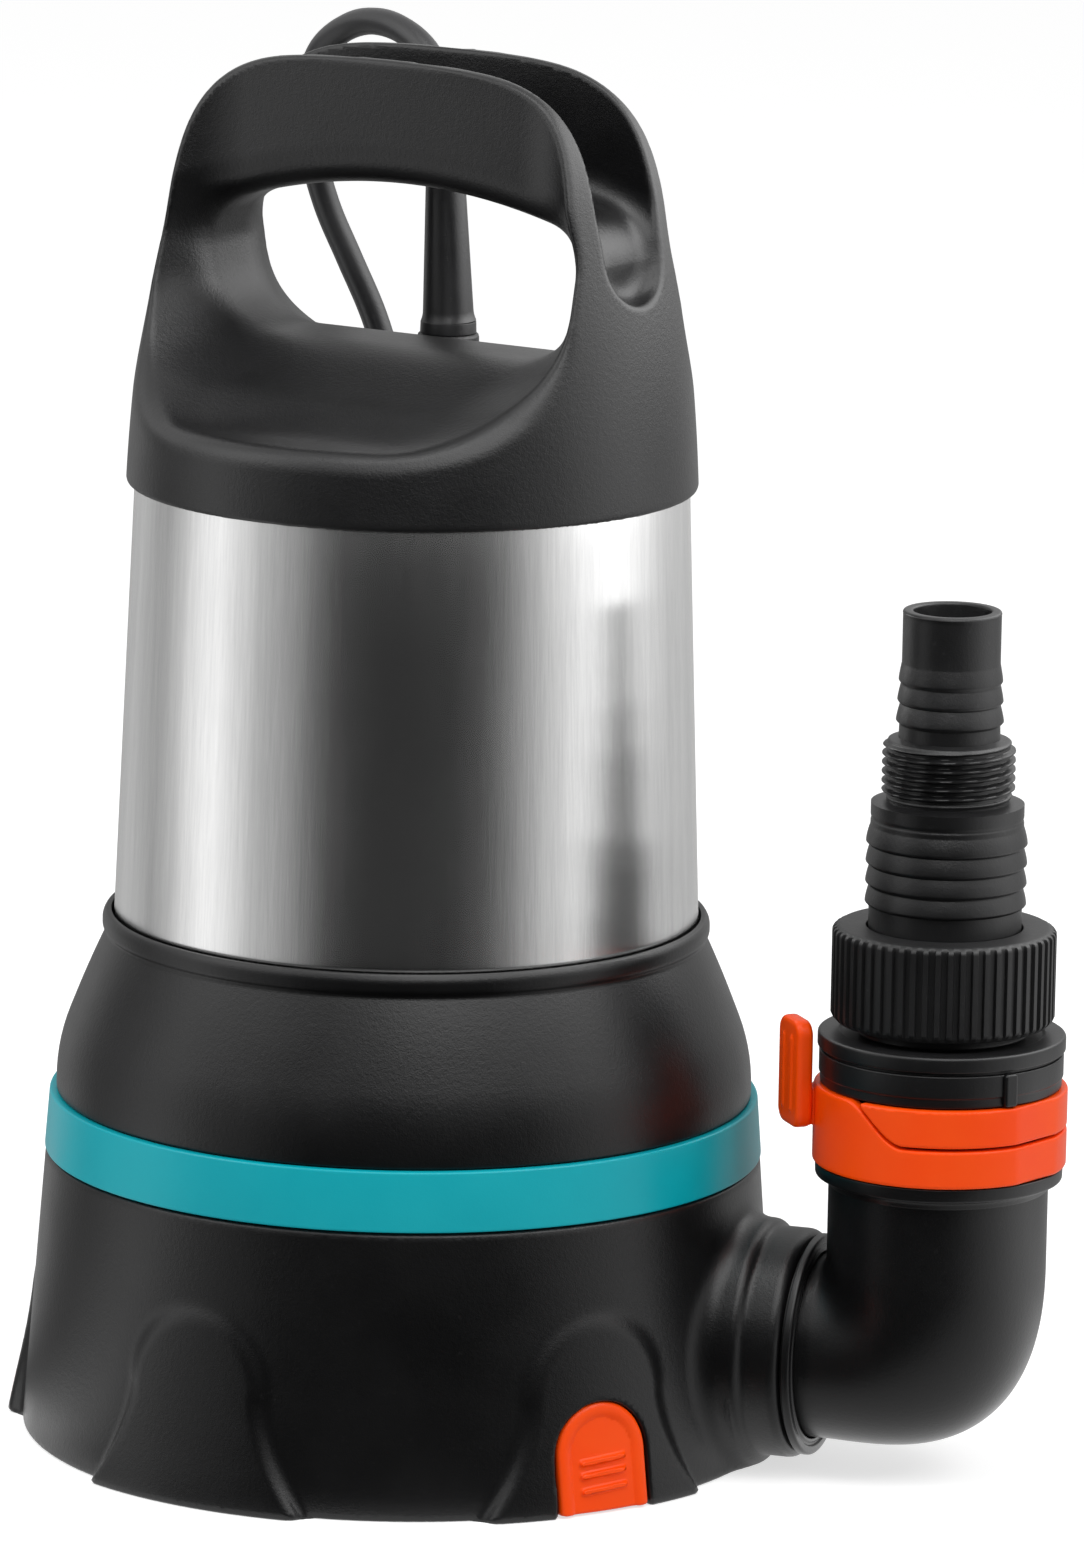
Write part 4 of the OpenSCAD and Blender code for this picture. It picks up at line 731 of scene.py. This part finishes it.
machined_steel = worked_metal("machined_steel", (0.66, 0.66, 0.67, 1), (0.5, 0.5, 0.5, 1),
                              (0.16, 0.28), 0.01)
sheet_iron = worked_metal("sheet_iron", (0.36, 0.35, 0.34, 1), (0.24, 0.22, 0.2, 1),
                          (0.35, 0.55), 0.03)
cast_aluminium = worked_metal("cast_aluminium", (0.72, 0.73, 0.74, 1), (0.55, 0.55, 0.56, 1),
                              (0.35, 0.5), 0.05)
copper_enamel = worked_metal("copper_enamel", (0.62, 0.24, 0.09, 1), (0.42, 0.15, 0.05, 1),
                             (0.22, 0.35), 0.05)
ivory_plastic = moulded_plastic("ivory_plastic", srgb(226, 222, 205), srgb(216, 210, 190), 0.2,
                                (0.4, 0.5), 0.03, dust_tone=(0.5, 0.47, 0.4, 1))
inner_plastic = moulded_plastic("inner_plastic", srgb(30, 30, 32), srgb(38, 38, 40), 0.1,
                                (0.45, 0.55), 0.04)
finish_nodes(zinc_plate, "tie_screws", "casing_screws", "impeller_washer", "impeller_nut")
finish_nodes(inner_plastic, "volute_casing", "volute_cover", "oil_chamber", "thermal_switch",
             "motor_lid", "cable_gland")
finish_nodes(seal_rubber, "volute_gasket", "seal_seat")
finish_nodes(orange_plastic, "impeller")
finish_nodes(machined_steel, "seal_ring", "shaft", "lower_bearing", "upper_bearing", "motor_can")
finish_nodes(sheet_iron, "rotor_core", "stator_core")
finish_nodes(cast_aluminium, "rotor_end_rings", "lower_bearing_shield", "upper_bearing_shield",
             "capacitor")
finish_nodes(copper_enamel, "winding_lower", "winding_upper")
finish_nodes(ivory_plastic, "terminal_block")

# ---- Outlet elbow ----
# The elbow plugs into the collar of the skirt behind a flat swivel ring, so it can be turned to
# either side. It bends straight up from a tight inner crease, widens on its way, and ends in a
# rim and socket for the coupling.

swivel_r, swivel_w = 28.0, 2.8
stack_x, elbow_r, elbow_top_r = 141.5, 23.3, 27.5
crease_r, fullness, elbow_start = 1.0, 2.85, 105.4
crease_x, crease_z = stack_x - elbow_top_r - crease_r, port_z + elbow_r + crease_r
socket_z, lock_z, lock_top, lock_bore_r = 77.8, 81.6, 101.7, 28.3
elbow_plastic = moulded_plastic(
    "elbow_plastic", srgb(12, 12, 13), srgb(17, 17, 18), 0.06, (0.3, 0.38), 0.03, 0.4)


def port_ring(name, body, loop, material, **words):
    """A ring turned about the port's axis; its outline is (radius, distance from the pump's axis)."""
    x, y, z = np.moveaxis(turned_points(loop, 128), -1, 0)
    return ring_piece(name, body, np.stack([z, x, y + port_z], -1), material, **words)


swivel_end = collar_x + swivel_w
port_ring("swivel_ring_moulding", "pump", rounded_loop([
    (elbow_r + 0.5, collar_x, 0.3), (swivel_r - 1.4, collar_x, 0.1),
    (swivel_r - 1.4, collar_x + 0.7, 0.1), (swivel_r, collar_x + 0.7, 0.4),
    (swivel_r, swivel_end, 0.8), (swivel_r - 2.2, swivel_end, 0.3),
    (swivel_r - 2.5, swivel_end - 0.5, 0.2), (elbow_r + 1.7, swivel_end - 0.5, 0.3),
    (elbow_r + 1.2, swivel_end, 0.2), (elbow_r + 0.5, swivel_end, 0.3)]),
    elbow_plastic, replaces=["swivel_ring"], slot="black_plastic")


def bent_wall(radius_in, radius_out, offset, steps=64, sides=112):
    """Rings of a pipe that runs level from the port, round its inner crease, and straight up.

    At the angle a of the bend the ring's plane stands on the crease, its radius lies between the
    two given ones by a smooth share of a, and its middle is one radius and the offset outside. The
    bend's corner is filled by the factor (sin^n a + cos^n a)^(-1/n), which is 1 for n = 2.
    """
    a = np.concatenate([[0.0], np.linspace(0, 90, steps), [90.0]])[:, None]
    level, up = np.sin(np.radians(a)), np.cos(np.radians(a))
    corner = (np.abs(level) ** fullness + np.abs(up) ** fullness) ** (-1 / fullness)
    r = radius_in + (radius_out - radius_in) * eased(a / 90)
    t = equal_turns(sides)
    out, side = (offset + r + r * np.cos(t)) * corner, r * np.sin(t)
    x = crease_x + out * level
    z = crease_z - out * up
    x[0], z[-1] = elbow_start, socket_z + 1.0
    return np.stack([x, side, z], -1)


outer_wall = bent_wall(elbow_r, elbow_top_r, crease_r)
inner_wall = bent_wall(16.6, 18.2, crease_r + 6.6)
ring_piece("elbow_pipe", "outlet", np.concatenate([outer_wall, inner_wall[::-1]])[::-1],
           elbow_plastic, replaces=["elbow"], slot="black_plastic")
port_ring("elbow_tail", "outlet", rounded_loop([
    (15.95, 94.2, 0.4), (19.3, 94.2, 0.8), (19.3, 105.2, 0.2), (elbow_r + 1.3, 105.35, 0.3),
    (elbow_r + 1.3, 108.7, 0.4), (elbow_r - 0.4, 108.7, 0.2), (elbow_r - 0.4, 106.5, 0.2),
    (15.95, 106.5, 0.3)]), elbow_plastic, slot="black_plastic")
turned_piece("elbow_socket", "outlet", rounded_loop([
    (17.5, 74.5, 0.4), (elbow_top_r - 0.6, 74.5, 0.2), (elbow_top_r + 0.05, 75.6, 0.4),
    (elbow_top_r + 0.6, 77.5, 1.0), (30.9, 78.0, 0.7), (31.0, 81.4, 0.4), (28.1, 81.55, 0.2),
    (28.1, 100.6, 0.5), (23.0, 100.6, 0.5), (23.0, 84.0, 0.2), (17.5, 84.0, 0.4)]),
    elbow_plastic, centre=(stack_x, 0), segments=160, slot="black_plastic")
finish_nodes(seal_rubber, "elbow_o_ring")

# ---- Quick lock ----
# The orange ring turns on the socket by its lever and locks the coupling; a ramp in its upper edge
# runs under a fixed orange segment of the socket. Both are glossy mouldings.

lock_r, lock_low, ramp_from, ramp_width, tall_width = 31.75, 91.25, -122.0, 31.0, 60.0
segment_end, flat_turn, flat_half = 93.0, -22.3, 14.3
lever_turn, lever_middle, lever_twist, lever_z, lever_half_h = -162.0, 36.3, 20.0, 103.95, 13.75


def lock_band(x, y):
    """The wall that ring and segment share: a round band with one flat for the thumb."""
    radius = np.hypot(x, y)
    flat = across_and_out(x, y, flat_turn)[1] - lock_r * cos_sin(flat_half)[0]
    return smooth_max(smooth_max(radius - lock_r, flat, 0.3), lock_bore_r - radius, 0.5)


def ramp_height(x, y):
    """Height of the split: full up to the ramp, easing down over it, level beyond."""
    turn = np.mod(np.degrees(np.arctan2(y, x)) - ramp_from + tall_width, 360) - tall_width
    return lock_low + (lock_top - 0.1 - lock_low) * eased(1 - turn / ramp_width)


def lock_field(x, y, z):
    """The low ring with its full-height part behind the ramp, and the lever joined to it."""
    start = across_and_out(x, y, ramp_from - tall_width)[0]
    tall = smooth_max((z - ramp_height(x, y)) / 1.1, -start, 1.0)
    low_and_tall = smooth_max(np.minimum(tall, z - lock_low), lock_z + 0.05 - z, 0.8)
    ring = smooth_max(lock_band(x, y), low_and_tall, 0.9)
    side, out = across_and_out(x, y, lever_turn)
    c, s = cos_sin(lever_twist)
    thick, wide = (out - lever_middle) * c + side * s, -(out - lever_middle) * s + side * c
    face = rounded_box(wide, z - lever_z, 7.0, lever_half_h, 4.0)
    paddle = smooth_max(np.abs(thick) - 2.2, face, 1.6)
    for at in (-2.6, 2.6):
        finger_rib = rounded_box(wide - at, z - lever_z, 0.8, 9.6, 0.8)
        paddle = smooth_min(paddle, smooth_max(np.abs(thick - 1.7) - 1.0, finger_rib, 0.6), 0.5)
    arm = smooth_max(np.abs(out - 33.3) - 3.2, np.abs(side) - 4, 1)
    arm = smooth_max(arm, np.abs(z - 95.6) - 4.5, 1)
    return smooth_min(smooth_min(ring, arm, 0.8), paddle, 1.0)


def segment_field(x, y, z):
    """The fixed segment over the level split, with its end cut to the ramp and its corner rounded."""
    over = smooth_max((ramp_height(x, y) + 0.45 - z) / 1.1, z - lock_top, 1.0)
    start = across_and_out(x, y, ramp_from + 5.5)[0]
    end, ahead = across_and_out(x, y, segment_end)
    inside = np.where(across_and_out(x, y, (ramp_from + segment_end) / 2)[1] > -6, 0, 30)
    window = smooth_max(-start, np.where(ahead > 0, end, -30), 0.6)
    arc = smooth_max(lock_band(x, y), over, 0.9)
    return smooth_max(arc, smooth_max(window, over, 3.0) + inside, 0.8)


for name, body, field, low, top, node in (
        ("lock_ring_with_lever", "lock", lock_field, (-43.5, -33.5, 80), 119.5, "lock_ring"),
        ("lock_segment_moulding", "outlet", segment_field, (-33.5, -33.5, 89), 103.5,
         "lock_segment")):
    skinned_piece(name, body, field, low, (33.5, 33.5, top), 0.62, orange_plastic,
                  shift=(stack_x, 0), replaces=[node], slot="orange_plastic")

# ---- Coupling ----
# A black turned-looking moulding that pushes into the socket with a sealing ring, shows a rim, a
# groove and a flange above the lock, and ends in a threaded neck. A rubber flap on a steel pin
# lies in it as the non-return valve.

rim_top, flange_top, neck_top, neck_r = 110.0, 115.0, 131.5, 22.2
coupling_plastic = moulded_plastic(
    "coupling_plastic", srgb(13, 13, 14), srgb(18, 18, 19), 0.15, (0.34, 0.42), 0.03, 0.4)
neck_turns, neck_pitch, neck_root = 5, 2.6, neck_r - 1.2
neck_thread = [(r, flange_top + 1.6 + neck_pitch * i + dz, 0.25) for i in range(neck_turns)
               for r, dz in ((neck_root, 0.0), (neck_r, 0.7), (neck_r, 1.2), (neck_root, 1.9))]
turned_piece("coupling_moulding", "outlet", rounded_loop([
    (12, 84.3, 0.3), (22.95, 84.3, 0.6), (22.95, lock_top, 0.2), (30.2, lock_top + 0.1, 0.4),
    (30.2, 104.2, 0.3), (30.55, 104.5, 0.2), (30.55, rim_top, 0.4), (29.7, rim_top + 0.1, 0.15),
    (29.7, rim_top + 0.9, 0.15), (31.0, rim_top + 1.0, 0.4), (31.0, flange_top - 0.2, 0.9),
    (25.6, flange_top, 0.3), (25.2, flange_top - 0.5, 0.3), (neck_root, flange_top - 0.4, 0.6),
    *neck_thread, (neck_root, neck_top, 0.5), (17.5, neck_top, 0.4), (17.5, 86.6, 0.3),
    (12, 86.3, 0.3)], 5),
    coupling_plastic, centre=(stack_x, 0), replaces=["coupling_body"], slot="black_plastic")


def tab_field(x, y, z):
    """A small upright catch on the coupling's rim."""
    side, out = across_and_out(x, y, -40.4)
    return smooth_max(rounded_box(side, z - 106.0, 1.9, 4.2, 0.9), np.abs(out - 30.0) - 1.75, 0.8)


skinned_piece("coupling_catch", "outlet", tab_field, (18, -25, 100), (30, -14, 112), 0.4,
              coupling_plastic, shift=(stack_x, 0), slot="black_plastic")
finish_nodes(seal_rubber, "coupling_o_ring", "valve_flap", "tail_gasket")
finish_nodes(machined_steel, "valve_pin")

# ---- Union nut ----
# The loose nut that pulls the hose tail on to the neck: a black cap with a flat top and fifty-six
# upright grip ribs round its side.

nut_r, nut_z, nut_top, nut_ribs, points_per_rib, rib_out = 28.0, 117.5, 141.7, 56, 10, 0.88
nut_plastic = moulded_plastic(
    "nut_plastic", srgb(12, 12, 13), srgb(17, 17, 18), 0.2, (0.42, 0.52), 0.04, 0.45)
nut_side = [(nut_r - 0.9, z, 0.02) for z in np.linspace(nut_z + 1.2, nut_top - 1.7, 26)]
nut_loop = rounded_loop([
    (22.65, nut_z, 0.3), (nut_r - 1.4, nut_z, 0.5), *nut_side, (nut_r - 1.0, nut_top, 1.2),
    (19.5, nut_top, 0.4), (19.5, nut_top - 4.7, 0.2), (22.65, nut_top - 4.8, 0.3)], 5)
a = equal_turns(nut_ribs * points_per_rib)
rib = eased(0.5 + 1.5 * np.cos(nut_ribs * a))
r, z = nut_loop[:, :1], nut_loop[:, 1:]
fade = np.clip(z - nut_z - 0.9, 0, 1) * np.clip(nut_top - 0.3 - z, 0, 1)
r = r + rib_out * rib * np.sqrt(fade) * (r > nut_r - 3)
ring_piece("union_nut_cap", "nut", round_points(r, z, a, (stack_x, 0)), nut_plastic, 40,
           replaces=["union_nut"], slot="black_plastic")

# ---- Hose tail ----
# One stepped black moulding for three sizes of hose: a wide barbed step, an outside pipe thread
# under a smooth collar, a narrow barbed step and a plain spigot, with the waterway through it.

wide_z, wide_top, thread_z, thread_top, plain_z, stack_top = 147.0, 167.4, 173.7, 189.5, 209.6, 221.6
thread_r, thread_pitch, wide_r, tail_r, tail_bore = 16.62, 2.309, 19.1, 12.25, 9.7
barb_h, narrow_z = 5.1, 193.0
tail_plastic = moulded_plastic(
    "tail_plastic", srgb(12, 12, 13), srgb(17, 17, 18), 0.2, (0.34, 0.43), 0.04, 0.45)


def barbs(z, low, count, heights):
    """Barbs one over the other: each rises at once and then tapers off upwards."""
    f = (z - low) / barb_h
    share = np.mod(f, 1.0)
    shape = np.clip(share / 0.16, 0, 1) ** 0.7 * (1 - np.clip((share - 0.16) / 0.84, 0, 1) ** 1.5)
    return shape * np.interp(f, [0, count], heights) * (f > 0) * (f < count)


z = np.concatenate([np.linspace(low, high, count)[:-1] for low, high, count in (
    (136.9, wide_z, 10), (wide_z, wide_top, 96), (wide_top, thread_z, 20),
    (thread_z, thread_top, 110), (thread_top, plain_z, 90))]
    + [np.linspace(plain_z, stack_top - 0.8, 12)])
outside = np.interp(z, *np.array([
    [137, wide_r], [168.6, wide_r], [169.1, wide_r - 0.3], [169.8, wide_r], [173.2, wide_r],
    [173.7, 15.3], [188.9, 15.25], [189.5, 12.65], [193, 12.55], [plain_z, tail_r], [222, tail_r]]).T)
outside += barbs(z, wide_z, 4, [1.0, 1.0]) + barbs(z, narrow_z, 3, [0.9, 0.5])
lip = rounded_loop([
    (tail_r, stack_top, 0.7), (tail_bore, stack_top, 0.7), (tail_bore, thread_z, 0.5),
    (13.6, wide_z, 1.0), (13.6, 133.5, 0.3), (21.2, 133.5, 0.4), (21.2, 136.5, 0.4)], 5)
tail_loop = np.concatenate([np.stack([outside, z], 1), lip])
a, r, z = equal_turns(144), tail_loop[:, :1], tail_loop[:, 1:]
phase = np.mod((z - thread_z) / thread_pitch - a / (2 * np.pi), 1.0)
crest = np.clip(1.35 - 4.2 * np.abs(phase - 0.5), 0, 1)
ends = np.clip((z - thread_z - 0.4) / 2.2, 0, 1) * np.clip((thread_top - 0.6 - z) / 1.6, 0, 1)
on_thread = (r > 14.9) & (z > thread_z) & (z < thread_top)
r = r + (thread_r - 15.27) * crest * ends * on_thread
ring_piece("hose_tail_moulding", "outlet", round_points(r, z, a, (stack_x, 0)), tail_plastic, 48,
           replaces=["hose_tail"], slot="black_plastic")

# ---- Cable boot ----
# A tapered rubber sleeve, moulded on to the cord where it leaves the cap behind the handle, with a
# low collar that sits on the cap's pad.

cord_r, boot_r, boot_h, boot_lean, collar_h = 3.5, 6.5, 44.5, 2.0, 3.0
cord_rubber = moulded_plastic("cord_rubber", (0.012, 0.012, 0.013, 1), (0.018, 0.018, 0.019, 1),
                              0.25, (0.3, 0.42), 0.03)
boot_length = boot_h - collar_h
turned_piece("boot_collar", "pump", rounded_loop([
    (5.2, boot_z, 0.2), (boot_r + 0.7, boot_z, 0.2), (boot_r + 0.6, boot_z + collar_h, 0.2),
    (5.2, boot_z + collar_h, 0.2)]), cord_rubber, 96,
    centre=tuple(turned_round(np.array([boot_x, boot_y, 0.0]), cord_turn)[:2]), slot="cord_rubber")
sleeve = turned_points(rounded_loop([
    (cord_r + 0.02, 0, 0.1), (boot_r + 0.6, 0, 0.1), (boot_r, 1.5, 1.2),
    (boot_r - 1.7, boot_length, 0.9), (cord_r + 0.02, boot_length, 0.1)], 6), 64)
lean_c, lean_s = cos_sin(boot_lean)
sleeve = sleeve @ np.array([[lean_c, 0, lean_s], [0, 1, 0], [-lean_s, 0, lean_c]])
sleeve = turned_round(sleeve + [boot_x, boot_y, boot_z + collar_h - 0.01], cord_turn)
ring_piece("boot_sleeve", "pump", sleeve, cord_rubber, replaces=["strain_relief"],
           slot="cord_rubber")

# ---- Power cord ----
# Ten metres of round rubber cord, seven millimetres thick: it stands out of the boot, loops over
# behind the handle, hangs down the back of the pump and ends, wound for storage, in a flat coil of
# four layers on the floor with the plug lying on it.

coil_middle, coil_start, coil_in_r, coil_pitch = np.array([2.0, 194.2]), -65.0, 39.5, 7.6
coil_ends = np.cumsum([6.3, 5.8, 5.8, 5.8])
coil_climb, coil_lift, tail_in, plug_r = 0.5, 0.63, 30.0, 17.4
plug_z = 2 * cord_r + 3 * coil_pitch + plug_r + 0.2
lead_points = np.array([
    [6, 40.5, 333], [2, 48, 345], [-7, 59, 351], [-17, 71, 350], [-26, 80, 342], [-29.5, 86, 329],
    [-28.5, 90, 315], [-24.5, 92, 300], [-18.5, 93, 286], [-12, 94, 271], [-7, 94, 255],
    [-3, 95, 239], [-1, 95, 222], [0, 96, 204], [-1, 97, 186], [-3, 98, 168], [-7, 99, 150],
    [-12, 100, 132], [-17, 100, 115], [-22, 101, 98], [-26, 102, 80], [-29, 102, 62],
    [-30.5, 102, 46], [-29, 102.5, 31], [-24, 103.5, 18], [-14.5, 104.2, 8.5], [-3, 104.8, 4.2],
    [10, 105.7, 3.5], [25, 109, 3.5]])


def coil_points(turn):
    """The cord's middle after so many turns: four flat spirals and the rise to the plug."""
    one, two, three, four = coil_ends
    r = coil_in_r + coil_pitch * (np.maximum(one - turn, 0) + np.clip(turn - one, 0, two - one)
                                  - np.clip(turn - two, 0, three - two) + np.maximum(turn - three, 0))
    r = r - tail_in * eased((turn - four) / coil_lift / 0.8 - 0.25)
    z = cord_r + coil_pitch * sum(eased((turn - k) / coil_climb + 0.5) for k in (one, two, three))
    z = z + (plug_z - cord_r - 3 * coil_pitch) * eased((turn - four) / coil_lift / 0.85)
    a = np.radians(coil_start + 360 * turn)
    return turned_round(round_points(r, z, a, coil_middle), cord_turn)


def along_curve(points, each):
    """A smooth curve through points: on each stretch, the cubic set by its two neighbours."""
    p = np.concatenate([[2 * points[0] - points[1]], points, [2 * points[-1] - points[-2]]])
    t = np.linspace(0, 1, each, endpoint=False)[None, :, None]
    a, b, c, d = (p[i:len(p) - 3 + i, None] for i in range(4))
    curve = 0.5 * (2 * b + (c - a) * t + (2 * a - 5 * b + 4 * c - d) * t ** 2
                   + (3 * b - a - 3 * c + d) * t ** 3)
    return np.concatenate([curve.reshape(-1, 3), points[-1:]])


boot_tip = turned_round(np.array([boot_x - boot_length * lean_s, boot_y,
                                  boot_z + collar_h + boot_length * lean_c]), cord_turn)
all_turns, points_per_turn = coil_ends[-1] + coil_lift, 48
coil_line = coil_points(np.linspace(0, all_turns, round(all_turns * points_per_turn)))
tail_way = (coil_line[-1] - coil_line[-2]) * [1, 1, 0]
tail_way /= np.linalg.norm(tail_way)
plug_at = coil_line[-1] + 2 * cord_r * tail_way
lead_line = along_curve(
    np.concatenate([[boot_tip], turned_round(lead_points, cord_turn), coil_line[:1]]), 8)
cord_line = np.concatenate([lead_line[:-1], coil_line, [plug_at]])


def carried_frames(line):
    """Two directions across a line at each of its points, carried along it without twist."""
    ahead = np.gradient(line, axis=0)
    ahead /= np.linalg.norm(ahead, axis=1)[:, None]
    first = np.cross(ahead[0], [0, 1, 0])
    sides = [first / np.linalg.norm(first)]
    for way in ahead[1:]:
        side = sides[-1] - way * (sides[-1] @ way)
        sides.append(side / np.linalg.norm(side))
    sides = np.array(sides)
    return sides, np.cross(ahead, sides)


def capped_tube(name, line, radius, sides=16):
    """A round tube along a line, closed by a flat face of quads at each end."""
    one, other = carried_frames(line)
    t = equal_turns(sides)[..., None]
    rings = line[:, None] + radius * (np.cos(t) * one[:, None] + np.sin(t) * other[:, None])
    points, faces = sheet_of(rings, wrap_columns=True)
    k = np.arange(sides // 2 - 1)
    lid = np.stack([k, k + 1, sides - 2 - k, sides - 1 - k], 1)
    return new_mesh(name, points, np.concatenate([faces, lid[:, ::-1], lid + len(points) - sides]))


cord_mesh = smooth_shaded(capped_tube("power_cord", cord_line, cord_r), 50)
cord = add_piece("power_cord", "pump", cord_mesh, cord_rubber,
                 "cord_rubber", ["cord_lead", "cord_coil", "cord_tail"])

# ---- Plug ----
# A round moulded rubber plug with a waisted neck, finger ridges and two plated pins; it lies on the
# coil's upper turns.

plug_length = 48.0
out = np.concatenate([np.linspace(0, 34, 90), np.linspace(34, plug_length - 1.2, 20)[1:]])
girth = np.interp(out, [0, 12, 16, 22, 28, 34, 36, 47],
                  [4.7, 5.5, 8.0, 12.6, 15.6, 16.4, plug_r, plug_r])
ridges = np.clip(np.cos(2 * np.pi * (out - 1.5) / 3.4) * 1.6 - 0.2, 0, 1)
girth += 0.45 * ridges * (out > 2.5) * (out < 11)
end = rounded_loop([(plug_r, plug_length, 1.1), (3.6, plug_length, 0.3), (3.6, 0, 0.3)], 6)
plug_points = turned_points(np.concatenate([np.stack([girth, out], 1), end]), 96)
tail_turn = math.degrees(math.atan2(tail_way[1], tail_way[0]))
plug_points = turned_round(plug_points[..., [2, 1, 0]] * [1, 1, -1], tail_turn) + plug_at
plug = ring_piece("plug_moulding", "pump", plug_points, cord_rubber, replaces=["plug_body"],
                  slot="cord_rubber")
finish_nodes(machined_steel, "plug_pins")
